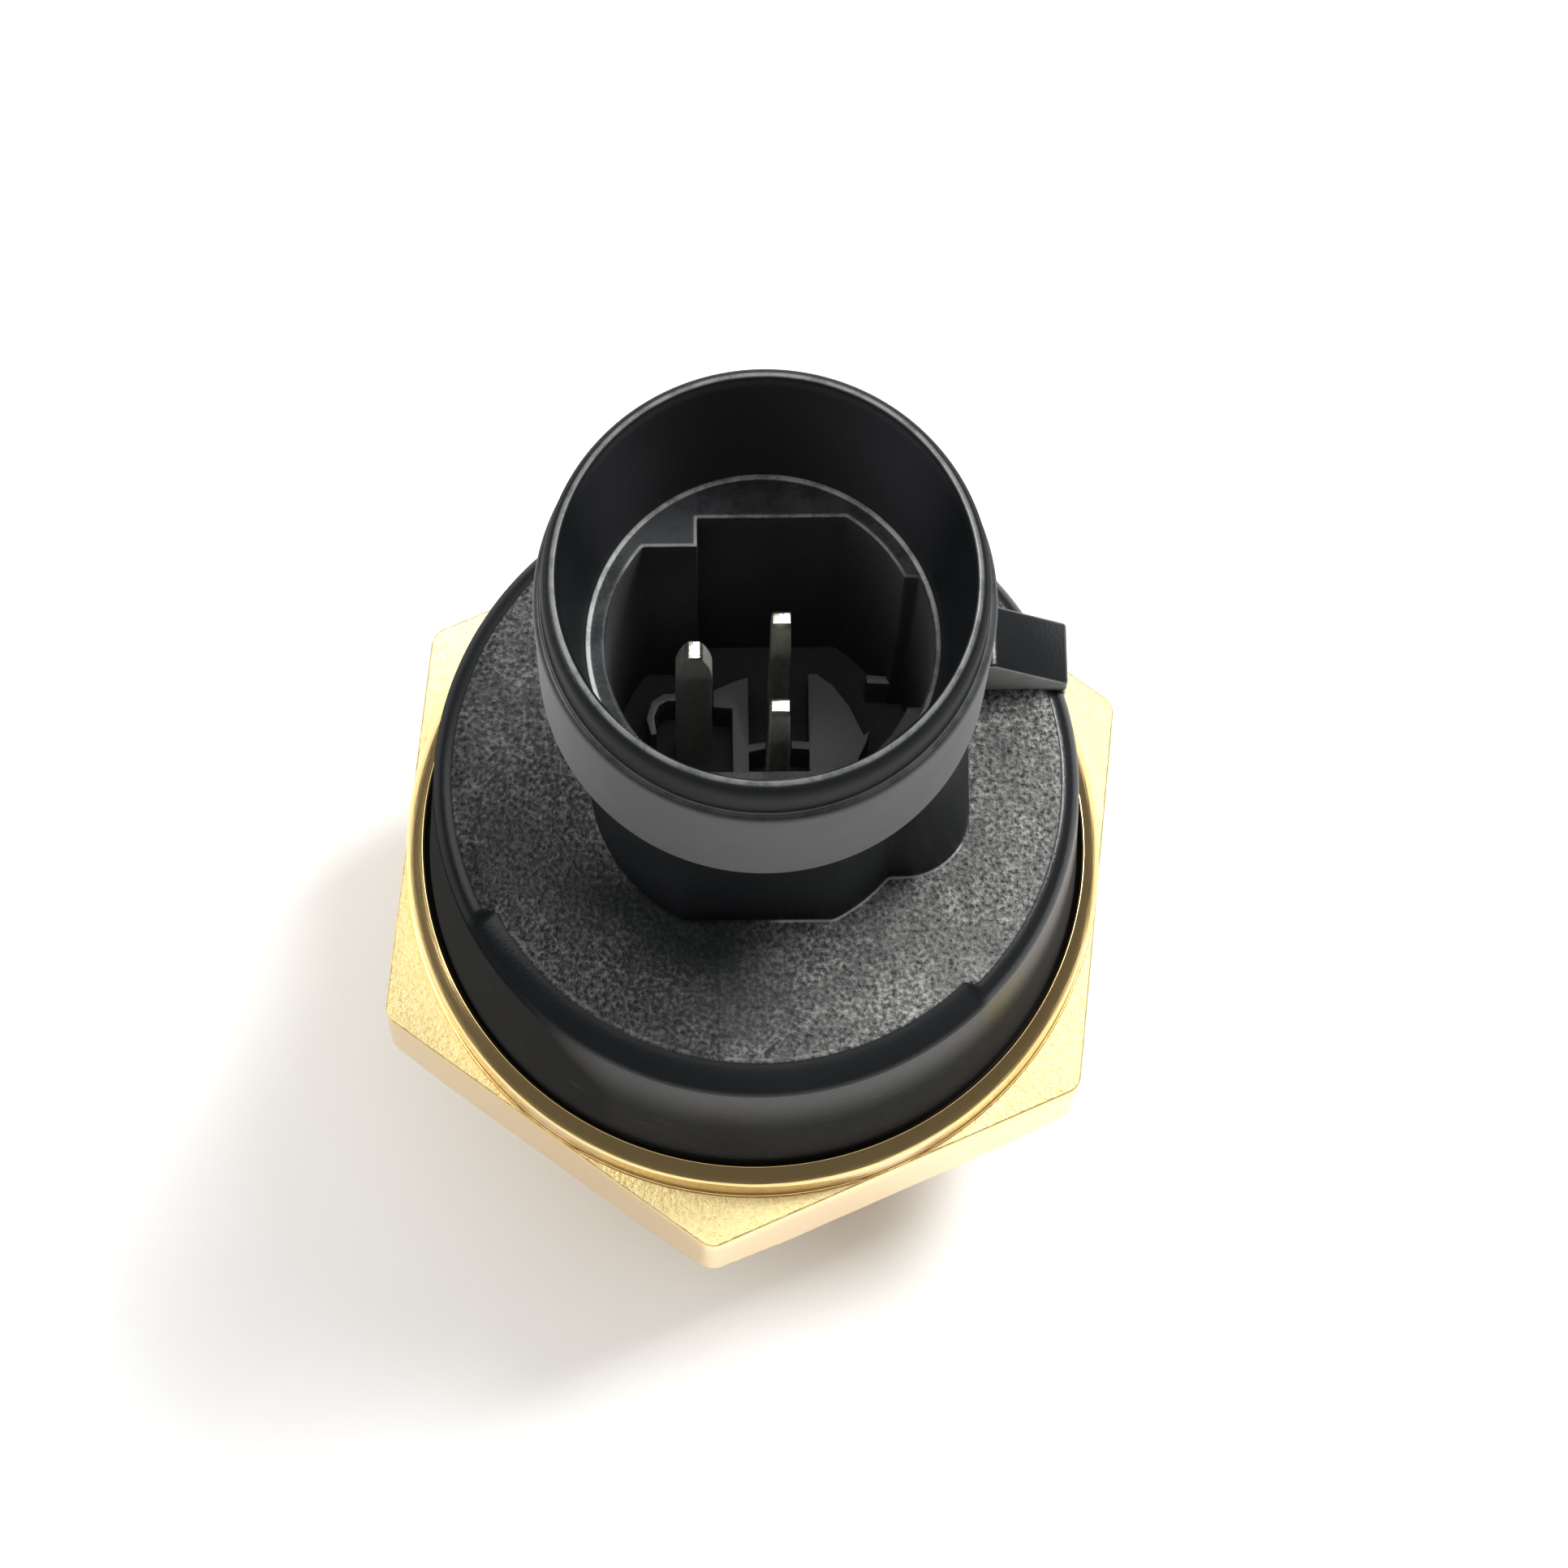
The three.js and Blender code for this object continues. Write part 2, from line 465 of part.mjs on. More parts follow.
const group = new THREE.Group();
group.name = 'pressure_switch';
group.add(
  makePortBody(), makePortSealRing(), makeInletSnubber(),
  makeDiaphragmSeal(), makeDiaphragm(), makeGuidePlate(), makePiston(),
  makeSnapDisc(), makeDiscRetainer(), makePushPin(),
  makeContactBase(), makeArmRivet(), makeContactArm(), makeMovingContact(),
  makeClosedContact(), makeOpenContact(),
  makeCommonTerminal(), makeOpenTerminal(), makeClosedTerminal(), makeTerminalSealant(),
  makeHousingSeal(), makeConnectorHousing(),
);

export default group;
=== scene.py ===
import math

import bmesh
import bpy
import numpy as np
from mathutils import Matrix, Vector


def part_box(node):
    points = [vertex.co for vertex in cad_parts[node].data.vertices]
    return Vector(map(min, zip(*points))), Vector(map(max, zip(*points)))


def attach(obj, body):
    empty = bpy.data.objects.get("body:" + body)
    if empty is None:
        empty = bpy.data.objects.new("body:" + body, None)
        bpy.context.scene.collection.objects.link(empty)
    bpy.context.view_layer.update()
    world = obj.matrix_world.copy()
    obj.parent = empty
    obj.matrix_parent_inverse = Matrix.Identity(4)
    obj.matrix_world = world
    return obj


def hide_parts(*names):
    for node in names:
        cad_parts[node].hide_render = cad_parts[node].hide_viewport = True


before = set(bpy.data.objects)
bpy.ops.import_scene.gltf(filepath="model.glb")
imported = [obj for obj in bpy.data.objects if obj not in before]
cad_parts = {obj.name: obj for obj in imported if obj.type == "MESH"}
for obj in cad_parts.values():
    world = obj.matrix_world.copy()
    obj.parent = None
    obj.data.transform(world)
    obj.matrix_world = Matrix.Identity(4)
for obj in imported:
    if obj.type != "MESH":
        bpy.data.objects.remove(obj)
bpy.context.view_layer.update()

mm = 0.001
fullTurn = 2 * math.pi
scene = bpy.context.scene
scene.view_settings.view_transform = "Standard"
scene.view_settings.look = "None"


def lowest(node):
    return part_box(node)[0].z / mm  # every length below is in millimetres


def highest(node):
    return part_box(node)[1].z / mm


def middle(node):
    return (lowest(node) + highest(node)) / 2


class Wire:  # a node's output, in arithmetic
    def __init__(self, paint, socket):
        self.paint = paint
        self.socket = socket

    def maths(self, operation, first, second=None):
        inputs = {0: first} if second is None else {0: first, 1: second}
        return self.paint.node("Math", {"operation": operation}, inputs)

    def __add__(self, other):
        return self.maths("ADD", self, other)

    def __radd__(self, other):
        return self.maths("ADD", other, self)

    def __sub__(self, other):
        return self.maths("SUBTRACT", self, other)

    def __rsub__(self, other):
        return self.maths("SUBTRACT", other, self)

    def __mul__(self, other):
        return self.maths("MULTIPLY", self, other)

    def __rmul__(self, other):
        return self.maths("MULTIPLY", other, self)

    def __pow__(self, other):
        return self.maths("POWER", self, other)

    def __abs__(self):
        return self.maths("ABSOLUTE", self)

    def below(self, other):
        return self.maths("MINIMUM", self, other)

    def above(self, other):
        return self.maths("MAXIMUM", self, other)


class Nodes:
    def __init__(self, tree):
        self.tree = tree

    def node(self, kind, settings=None, inputs=None, out=0):
        made = self.tree.nodes.new("ShaderNode" + kind)
        for key, value in (settings or {}).items():
            if key == "stops":
                self.setStops(made.color_ramp, value)
            else:
                setattr(made, key, value)
        for key, value in (inputs or {}).items():
            self.feed(made.inputs[key], value)
        return Wire(self, made.outputs[out])

    def setStops(self, ramp, stops):
        for element, (place, level) in zip(ramp.elements, stops):
            element.position = place
            element.color = (level, level, level, 1)

    def feed(self, socket, value):
        if isinstance(value, Wire):
            self.tree.links.new(value.socket, socket)
        else:
            socket.default_value = value


class Paint(Nodes):
    def __init__(self, name, **constants):
        self.material = bpy.data.materials.new(name)
        self.material.use_nodes = True
        super().__init__(self.material.node_tree)
        self.tree.nodes.clear()
        self.shader = self.tree.nodes.new("ShaderNodeBsdfPrincipled")
        self.output = self.tree.nodes.new("ShaderNodeOutputMaterial")
        self.tree.links.new(self.shader.outputs[0], self.output.inputs[0])
        for socket, value in constants.items():
            self.shader.inputs[socket.replace("_", " ")].default_value = value

    def set(self, socket, value):
        self.feed(self.shader.inputs[socket], value)

    def place(self):  # millimetres in the frame
        at = self.node("TexCoord", out="Object")
        return self.node("VectorMath", {"operation": "SCALE"}, {0: at, "Scale": 1 / mm})

    def axes(self, vector):
        split = self.node("SeparateXYZ", inputs={0: vector})
        outputs = split.socket.node.outputs
        return [Wire(self, outputs[i]) for i in range(3)]

    def stretched(self, vector, x, y, z):
        return self.node("VectorMath", {"operation": "MULTIPLY"}, {0: vector, 1: (x, y, z)})

    def noise(self, vector, scale, detail=3, roughness=0.5, distortion=0):
        return self.node("TexNoise", inputs={"Vector": vector, "Scale": scale, "Detail": detail,
                                             "Roughness": roughness, "Distortion": distortion})

    def cells(self, vector, scale, feature="F1"):
        return self.node("TexVoronoi", {"feature": feature}, {"Vector": vector, "Scale": scale})

    def rise(self, value, low, high, start=0.0, end=1.0):  # a smooth step from start to end
        return self.node("MapRange", {"interpolation_type": "SMOOTHSTEP"},
                         {0: value, 1: low, 2: high, 3: start, 4: end})

    def coats(self, ground, layers):  # paints (mask, colour) layers over the ground, in order
        for mask, colour in layers:
            ground = self.mix(mask, ground, colour)
        return ground

    def mix(self, mask, first, second):
        made = self.node("Mix", {"data_type": "RGBA"}, {0: mask}, out=2)
        for index, colour in ((6, first), (7, second)):
            given = colour if isinstance(colour, Wire) else (*colour, 1)
            self.feed(made.socket.node.inputs[index], given)
        return made

    def bump(self, height, depth, normal=None, strength=1.0):  # depth in millimetres
        inputs = {"Strength": strength, "Distance": depth * mm, "Height": height}
        if normal is not None:
            inputs["Normal"] = normal
        return self.node("Bump", inputs=inputs)


    def dulled(self, mask):  # the same surface without gloss, laid in by the mask
        dull = self.tree.nodes.new("ShaderNodeBsdfPrincipled")
        dull.inputs["Specular IOR Level"].default_value = 0.0
        for name in ("Base Color", "Roughness", "Normal"):
            self.tree.links.new(self.shader.inputs[name].links[0].from_socket, dull.inputs[name])
        glossy, flat = Wire(self, self.shader.outputs[0]), Wire(self, dull.outputs[0])
        blend = self.node("MixShader", inputs={0: mask, 1: glossy, 2: flat})
        self.tree.links.new(blend.socket, self.output.inputs[0])


def meshObject(name, vertices, faces):
    mesh = bpy.data.meshes.new(name)
    mesh.from_pydata([tuple(v) for v in vertices], [], faces)
    mesh.update()
    made = bpy.data.objects.new(name, mesh)
    scene.collection.objects.link(made)
    return made


def smoothShade(made, sharpDegrees=32):
    work = bmesh.new()
    work.from_mesh(made.data)
    limit = math.radians(sharpDegrees)
    for face in work.faces:
        face.smooth = True
    for edge in work.edges:
        if len(edge.link_faces) == 2:
            edge.smooth = edge.calc_face_angle(0) < limit
    work.to_mesh(made.data)
    work.free()
    return made


def evenAngles(count):
    return np.arange(count) * fullTurn / count


def ringMesh(name, angles, rings, loop=False):
    # rings run up the outside; radius and height are numbers or one value for each angle
    vertices, rows = [], []
    count = len(angles)
    for radius, height in rings:
        if np.isscalar(radius) and radius == 0:
            rows.append([len(vertices)])
            vertices.append((0, 0, float(np.mean(height)) * mm))
            continue
        r = np.broadcast_to(radius, (count,))
        z = np.broadcast_to(height, (count,))
        rows.append(list(range(len(vertices), len(vertices) + count)))
        vertices.extend(zip(r * np.cos(angles) * mm, r * np.sin(angles) * mm, z * mm))
    faces = []
    pairs = list(zip(rows, rows[1:] + rows[:1])) if loop else list(zip(rows, rows[1:]))
    for low, high in pairs:
        for j in range(count):
            k = (j + 1) % count
            if len(low) == 1:
                faces.append((low[0], high[k], high[j]))
            elif len(high) == 1:
                faces.append((low[j], low[k], high[0]))
            else:
                faces.append((low[j], low[k], high[k], high[j]))
    return meshObject(name, vertices, faces)


def rounded(points, steps=5):
    # an outline of (offset, height, radius) points; each radius rounds its corner off
    made = []
    for i, (a, b, radius) in enumerate(points):
        if radius == 0 or i in (0, len(points) - 1):
            made.append((a, b))
            continue
        here = np.array([a, b], float)
        ends = []
        for near in (points[i - 1], points[i + 1]):
            away = np.array(near[:2], float) - here
            reach = np.linalg.norm(away)
            ends.append(here + away / reach * min(radius, reach * 0.49))
        for s in range(steps + 1):
            t = s / steps
            made.append(tuple((1 - t) ** 2 * ends[0] + 2 * t * (1 - t) * here + t * t * ends[1]))
    return made


def boxMesh(name, low, high, bevel=0.0, segments=3):
    corners = [(x, y, z) for x in (low[0], high[0]) for y in (low[1], high[1]) for z in (low[2], high[2])]
    faces = [(0, 1, 3, 2), (4, 6, 7, 5), (0, 4, 5, 1), (2, 3, 7, 6), (0, 2, 6, 4), (1, 5, 7, 3)]
    made = meshObject(name, [tuple(c * mm for c in corner) for corner in corners], faces)
    if bevel:
        bevelEdges(made, bevel, segments)
    return made


def bevelEdges(made, width, segments=3, overDegrees=20):
    work = bmesh.new()
    work.from_mesh(made.data)
    limit = math.radians(overDegrees)
    chosen = [e for e in work.edges if len(e.link_faces) == 2 and e.calc_face_angle(0) > limit]
    bmesh.ops.bevel(work, geom=chosen, offset=width * mm, segments=segments, profile=0.5,
                    affect="EDGES", clamp_overlap=True)
    bmesh.ops.recalc_face_normals(work, faces=work.faces)
    work.to_mesh(made.data)
    work.free()
    return made


def combined(name, parts):
    work = bmesh.new()
    for part in parts:
        work.from_mesh(part.data)
    mesh = bpy.data.meshes.new(name)
    work.to_mesh(mesh)
    work.free()
    for part in parts:
        bpy.data.objects.remove(part)
    made = bpy.data.objects.new(name, mesh)
    scene.collection.objects.link(made)
    return made


def carved(target, tools, operation="DIFFERENCE"):
    for tool in tools:
        step = target.modifiers.new("carve", "BOOLEAN")
        step.operation = operation
        step.solver = "EXACT"
        step.object = tool
    graph = bpy.context.evaluated_depsgraph_get()
    mesh = bpy.data.meshes.new_from_object(target.evaluated_get(graph))
    target.modifiers.clear()
    target.data = mesh
    for tool in tools:
        bpy.data.objects.remove(tool)
    return target


def finished(made, paint, body, replaced=()):
    made.data.materials.clear()
    made.data.materials.append(paint.material)
    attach(made, body)
    if replaced:
        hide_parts(*replaced)
    return made


def repaint(node, paint):
    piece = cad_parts[node]
    piece.data.materials.clear()
    piece.data.materials.append(paint.material)


# the camera's place and axes, and the lamps
view = {
    "place": (-3.88, -63.45, 251.21),  # millimetres
    "forward": (0.0221, 0.2759, -0.9609),
    "right": (0.9997, -0.0153, 0.0186),
    "lens": 121.12,
}

cameraData = bpy.data.cameras.new("camera")
cameraData.lens = view["lens"]
cameraData.sensor_width = 36
cameraData.clip_start = 0.01
camera = bpy.data.objects.new("camera", cameraData)
scene.collection.objects.link(camera)
camera.location = [c * mm for c in view["place"]]
ahead = Vector(view["forward"]).normalized()
across = Vector(view["right"])
across = (across - ahead * across.dot(ahead)).normalized()
camera.rotation_mode = "QUATERNION"
camera.rotation_quaternion = Matrix((across, across.cross(ahead), -ahead)).transposed().to_quaternion()
scene.camera = camera
print("camera set")

studio = {
    "aim": (0, 0, 30),       # the point that both lamps face
    "floorSize": 1600,
    "floorColour": (0.90, 0.90, 0.89),
    "keyPlace": (270, 190, 545),
    "keySize": 220,
    "keyPower": 4.6,
    "fillPlace": (-500, 60, 480),
    "fillSize": 380,
    "fillPower": 2.2,
    "skyAxis": (0.02, 0.28, 0.96),
    "skyStops": [(0.62, 0.12), (0.86, 1.3)],  # brightness from the horizon's side to the axis
}


def areaLight(name, place, size, power):
    data = bpy.data.lights.new(name, "AREA")
    data.shape = "SQUARE"
    data.size = size * mm
    data.energy = power
    made = bpy.data.objects.new(name, data)
    made.location = [c * mm for c in place]
    made.rotation_mode = "QUATERNION"
    made.rotation_quaternion = (Vector(studio["aim"]) - Vector(place)).to_track_quat("-Z", "Y")
    scene.collection.objects.link(made)
    return made


def makeStudio():
    half = studio["floorSize"] / 2 * mm
    corners = [(-half, -half, 0), (half, -half, 0), (half, half, 0), (-half, half, 0)]
    floor = meshObject("floor", corners, [(0, 1, 2, 3)])
    card = Paint("whiteCard", Roughness=0.7)
    grain = card.noise(card.place(), 0.4, 2)
    duller = [c * 0.995 for c in studio["floorColour"]]
    card.set("Base Color", card.mix(grain, studio["floorColour"], duller))
    floor.data.materials.append(card.material)
    areaLight("key", studio["keyPlace"], studio["keySize"], studio["keyPower"])
    areaLight("fill", studio["fillPlace"], studio["fillSize"], studio["fillPower"])
    world = bpy.data.worlds.new("studioSky")
    world.use_nodes = True
    scene.world = world
    sky = Nodes(world.node_tree)
    towards = sky.node("TexCoord", out="Generated")
    product = {"operation": "DOT_PRODUCT"}
    height = sky.node("VectorMath", product, {0: towards, 1: studio["skyAxis"]}, "Value")
    light = sky.node("ValToRGB", {"stops": studio["skyStops"]}, {0: height})
    sky.feed(world.node_tree.nodes["Background"].inputs["Color"], light)


makeStudio()
print("studio set")


portBody = {
    "angles": 540,
    "hexFlats": 31.735,
    "hexTurn": 23.3,         # degrees to the first corner
    "hexCorner": 0.9,
    "hexEdge": 0.14,         # broken edge at the top
    "hexBottom": 12.0,
    "hexTop": 18.0,
    "chamferStart": 16.68,   # radius at which the lower chamfer begins
    "chamferSlope": 0.5,
    "rimRadius": 15.75,
    "rimInner": 14.9,
    "rimTop": highest("port_body"),
    "rimSlope": (0.34, 0.3),  # how far in and down the rolled edge bends
    "rimDrop": 0.66,         # height of the rolled edge
    "cupRadius": 15.2,
    "lipUnder": 19.78,
    "threadCrest": 6.56,
    "threadRoot": 5.72,
    "threadPitch": 1.337,
    "threadEnd": 9.5,
    "threadLead": 0.55,      # how far the chamfer at the start cuts in
    "runoutSlope": 1.6,
    "undercut": 5.5,
    "bore": 3.1,
    "boreDepth": 9.0,
    "pilotRadius": 1.2,      # the small hole above the bore
    "pilotTop": 11.5,
    "cupFloor": 14.6,
    "cupStep": (8.0, 13.6),  # radius and height of the pocket in the cup's floor
    "lowerInset": 0.12,      # broken edge under the hexagon
    "rowsPerMm": 14,
}


def hexRadius(angles, inset):
    size = portBody
    apothem = size["hexFlats"] / 2 - inset
    corner = size["hexCorner"]
    half = math.pi / 6
    local = (angles - math.radians(size["hexTurn"]) + half) % (2 * half) - half  # 0 at a corner
    flat = apothem / np.cos(half - np.abs(local))
    centre = (apothem - corner) / math.cos(half)  # centre of the corner's arc
    inside = np.maximum(corner ** 2 - (centre * np.sin(local)) ** 2, 0)
    arc = centre * np.cos(local) + np.sqrt(inside)
    ends = math.atan2(corner / 2, centre + corner * math.cos(half))
    return np.where(np.abs(local) < ends, arc, flat)


def hexAngles():
    size = portBody
    angles = list(evenAngles(size["angles"]))
    for k in range(6):
        corner = math.radians(size["hexTurn"] + 60 * k) % fullTurn
        near = [corner + math.radians(d) for d in np.linspace(-2.0, 2.0, 17)]
        angles = [a for a in angles if abs((a - corner + math.pi) % fullTurn - math.pi) > math.radians(2.1)]
        angles += [a % fullTurn for a in near]
    return np.array(sorted(angles))


def threadRadius(angles, height):
    size = portBody
    phase = (height / size["threadPitch"] - angles / fullTurn) % 1.0
    wave = np.clip(np.abs(phase - 0.5) * 2 * 1.35 - 0.17, 0, 1)  # flats at crest and root
    wave = wave * wave * (3 - 2 * wave) * 0.35 + wave * 0.65
    radius = size["threadCrest"] - (size["threadCrest"] - size["threadRoot"]) * wave
    lead = size["threadRoot"] - size["threadLead"] + height
    above = size["threadEnd"] + size["threadLead"] - height
    runout = size["undercut"] + np.maximum(above, 0) * size["runoutSlope"]
    return np.minimum(np.minimum(radius, lead), runout)


def makePortBody():
    size = portBody
    angles = hexAngles()
    top, low = size["hexTop"], size["hexBottom"]
    pilot, lower = size["pilotRadius"], size["lowerInset"]
    rings = [(0, size["pilotTop"]), (pilot, size["pilotTop"]), (pilot, size["boreDepth"]),
             (size["bore"], size["boreDepth"])]
    rings += [(size["bore"], 0.35), (size["bore"] + 0.3, 0.0), (size["threadRoot"] - 0.6, 0.0)]
    threadTop = size["threadEnd"] + 0.6
    for z in np.linspace(0.04, threadTop, int(threadTop * size["rowsPerMm"])):
        rings.append((threadRadius(angles, z), z))
    neck = size["undercut"]
    rings += [(neck, size["threadEnd"] + 0.75), (neck, low - 0.2), (neck + 0.2, low)]
    start, slope = size["chamferStart"], size["chamferSlope"]
    rings.append((np.minimum(hexRadius(angles, lower), start - 0.1), low))
    for z in (0.04, 0.12, 0.25, 0.4, 0.55, 0.7, 0.85, 1.0):
        inset = max(lower - z, 0)
        rings.append((np.minimum(hexRadius(angles, inset), start + z / slope), low + z))
    edge = size["hexEdge"]
    for z, inset in rounded([(top - 1.5, 0, 0), (top, 0, edge), (top, 1.0, 0)], 4)[:-1]:
        rings.append((hexRadius(angles, inset), z))
    foot = size["rimRadius"]
    rim = rounded([(foot + 0.1, top, 0), (foot - 0.08, top + 0.04, 0.1), (foot - 0.02, top + 0.4, 0.2),
                   (foot, top + 1.5, 0)], 4)
    inner, crest = size["rimInner"], size["rimTop"]
    across, down = size["rimSlope"]
    rim += rounded([(*rim[-1], 0), (foot, crest - size["rimDrop"], 0.17),
                    (foot - across, crest - down, 0.3),
                    (inner + 0.09, crest, 0.03), (inner, crest - 0.06, 0.03),
                    (inner, size["lipUnder"], 0), (size["cupRadius"], size["lipUnder"], 0)], 6)[1:]
    for r, z in rim:
        rings.append((np.minimum(r, hexRadius(angles, edge * 1.2)) if z < top + 0.02 else r, z))
    step, stepFloor = size["cupStep"]
    floor = size["cupFloor"]
    rings += [(size["cupRadius"], floor), (step, floor), (step, stepFloor), (0, stepFloor)]
    made = ringMesh("brassPortBody", angles, rings)
    return smoothShade(made, 34)


brassTints = {
    "turned": (0.90, 0.66, 0.30), "turnedDark": (0.86, 0.60, 0.26),
    "blasted": (0.99, 0.84, 0.45), "blastedShadedRight": (0.72, 0.60, 0.28), "grain": (0.86, 0.62, 0.24),
    "stain": (0.62, 0.45, 0.20), "speck": (0.42, 0.29, 0.12), "burr": (0.23, 0.13, 0.05),
}


def brassPaint():
    size, tints = portBody, brassTints
    paint = Paint("brass", Metallic=1.0)
    rise = paint.rise
    at = paint.place()
    x, y, z = paint.axes(at)
    radius = (x * x + y * y) ** 0.5
    turnedPart = rise(radius, size["rimRadius"] + 0.02, size["rimRadius"] + 0.12, 1, 0)
    above = rise(z, size["hexTop"] - 0.06, size["hexTop"] - 0.02)
    blasted = above * (1 - turnedPart)  # the grained top of the hexagon
    edge = None
    for k in range(3):
        direction = math.radians(size["hexTurn"] + 30 + 60 * k)
        flat = abs(x * math.cos(direction) + y * math.sin(direction))
        edge = flat if edge is None else edge.above(flat)
    half = size["hexFlats"] / 2
    burr = rise(edge + paint.noise(at, 1.4, 4, 0.7) * 0.16, half - 0.04, half + 0.07) * above
    grains = paint.noise(at, 4.2, 4, 0.66)
    specks = rise(paint.cells(at, 2.6), 0.10, 0.02) * blasted
    stain = rise(paint.noise(at, 0.5, 5, 0.7), 0.60, 0.78)
    turned = paint.mix(paint.noise(at, 0.16, 3), tints["turned"], tints["turnedDark"])
    # painted shade: the grained top is painted darker and less yellow towards the right side, where the
    # lamp's highlight falls
    plate = paint.mix(rise(x, 7, 13, 0, 0.75), tints["blasted"], tints["blastedShadedRight"])
    paint.set("Base Color", paint.coats(turned, [
        (blasted, plate),
        (rise(grains, 0.52, 0.38) * blasted * 0.5, tints["grain"]),
        (stain * 0.5 * turnedPart, tints["stain"]),
        (specks * 0.5, tints["speck"]),
        (burr * 0.8, tints["burr"]),
    ]))
    lathe = paint.noise(paint.stretched(at, 0.4, 0.4, 14), 1.0, 2, 0.6)
    paint.set("Roughness", 0.13 + 0.10 * lathe + blasted * (0.28 + 0.12 * grains))
    blast = paint.bump(grains * blasted, 0.09)
    paint.set("Normal", paint.bump(lathe * (1 - blasted), 0.006, blast))
    return paint


brass = brassPaint()
portPiece = makePortBody()
finished(portPiece, brass, "switch_body", ["port_body"])
print("port body made", len(portPiece.data.vertices))


sealRing = {"centre": 6.6, "height": middle("port_seal_ring"), "section": 0.95, "count": 160, "sides": 28}


def makeSealRing():
    size = sealRing
    section = size["section"]
    rings = []
    for k in range(size["sides"]):
        turn = fullTurn * k / size["sides"]
        rings.append((size["centre"] + section * math.cos(turn), size["height"] + section * math.sin(turn)))
    return smoothShade(ringMesh("portSealRing", evenAngles(size["count"]), rings, loop=True))


def rubberPaint():
    paint = Paint("sealRubber", Roughness=0.55)
    at = paint.place()
    dust = paint.noise(at, 2.2, 4, 0.6)
    dusty = paint.rise(dust, 0.5, 0.8)
    paint.set("Base Color", paint.mix(dusty, (0.012, 0.012, 0.013), (0.05, 0.05, 0.052)))
    paint.set("Roughness", 0.45 + 0.25 * dust)
    paint.set("Normal", paint.bump(paint.noise(at, 9, 3), 0.02))
    return paint


rubber = rubberPaint()
finished(makeSealRing(), rubber, "switch_body", ["port_seal_ring"])


# the housing is one moulding: cap, neck, collar, lip and socket
housing = {
    "count": 720,
    "flangeRadius": 15.1, "flangeBottom": lowest("connector_housing"), "flangeTop": 19.6,
    "capFoot": 14.72, "capRadius": 14.06, "capTop": 31.5, "capRound": 1.02,
    "roomRadius": 12.0, "roomTop": 29.3,
    "neckRadius": 7.25, "neckFlat": 6.5,
    "wingFoot": 9.15, "wingTop": 8.35, "wingHalf": 4.62, "wingCorner": 2.9,
    "collarRadius": 9.05, "collarBottom": 48.6, "shoulder": 56.5,
    "lipRadius": 8.72, "lipEdge": 8.25,
    "mouthTop": highest("connector_housing") - 0.01, "mouthRadius": 8.05,
    "ledge": 50.6, "ledgeRadius": 6.85,
    "wellRadius": 6.3, "wellFlat": 5.3, "stepX": -2.6, "stepY": 4.1,
    "keyHalf": 2.7, "wellFloor": 33.6,
    "recessStart": 207.0, "recessEnd": 314.0,  # degrees, the sector where the cap's edge is set in
    "recessDepth": 0.34, "recessFade": 0.25,
    "lug": (7.5, 13.58, 3.8, 6.6),  # its sides in x, then in y
    "lugFoot": 29.55, "lugTop": 34.9, "lugEdge": 32.3, "lugFlat": 10.3, "lugBevel": 0.16,
}


def smoothed(radii, degrees):
    count = len(radii)
    spread = np.minimum(np.arange(count), count - np.arange(count)) * 360 / count
    kernel = np.exp(-(spread / degrees) ** 2)
    return np.real(np.fft.ifft(np.fft.fft(radii) * np.fft.fft(kernel / kernel.sum())))


def roundedBoxRadius(angles, halfX, halfY, corner):
    cosine, sine = np.abs(np.cos(angles)) + 1e-9, np.abs(np.sin(angles)) + 1e-9
    square = np.minimum(halfX / cosine, halfY / sine)
    centreX, centreY = halfX - corner, halfY - corner
    along = cosine * centreX + sine * centreY
    inside = along ** 2 - (centreX ** 2 + centreY ** 2 - corner ** 2)
    arc = along + np.sqrt(np.maximum(inside, 0))
    inCorner = (square * cosine > centreX) & (square * sine > centreY) & (inside > 0)
    return np.where(inCorner, arc, square)


def neckRadii(angles, offset, wing):
    size = housing
    side = np.abs(np.sin(angles)) + 1e-9
    stem = np.minimum(size["neckRadius"] + offset, (size["neckFlat"] + offset) / side)
    corner = size["wingCorner"] + offset
    block = roundedBoxRadius(angles, wing + offset, size["wingHalf"] + offset, corner)
    return smoothed(np.where(np.cos(angles) > 0, np.maximum(stem, block), stem), 1.1)


def wellRadii(angles, offset):
    size = housing
    cosine, sine = np.cos(angles), np.sin(angles)
    side = np.abs(sine) + 1e-9
    radii = np.minimum(size["wellRadius"] + offset, (size["wellFlat"] + offset) / side)
    stepX, stepY = size["stepX"] - offset, size["stepY"] + offset
    reach = np.where(cosine < -1e-6, stepX / np.minimum(cosine, -1e-6), 99)
    stepSide = np.maximum(stepY / np.maximum(sine, 1e-6), reach)
    hitStep = np.where(reach * sine > stepY, reach, stepSide)
    corner = (cosine < 0) & (sine > 0)
    radii = np.where(corner, np.minimum(radii, np.maximum(hitStep, 0.1)), radii)
    key = np.minimum(size["ledgeRadius"] - 0.02 + min(offset, 0), (size["keyHalf"] + offset) / side)
    return smoothed(np.where(cosine > 0, np.maximum(radii, key), radii), 0.45)


def neckOutline(angles, offset, wing):  # worked out finely, because smoothing needs even angles
    fine = evenAngles(7200)
    return np.interp(angles, fine, neckRadii(fine, offset, wing), period=fullTurn)


def wellOutline(angles, offset):
    fine = evenAngles(7200)
    return np.interp(angles, fine, wellRadii(fine, offset), period=fullTurn)


def edgeRecess(angles):
    size = housing
    degrees = np.degrees(angles) % 360
    start = 1 / (1 + np.exp(-(degrees - size["recessStart"]) / size["recessFade"]))
    end = 1 / (1 + np.exp((degrees - size["recessEnd"]) / size["recessFade"]))
    return size["recessDepth"] * start * end


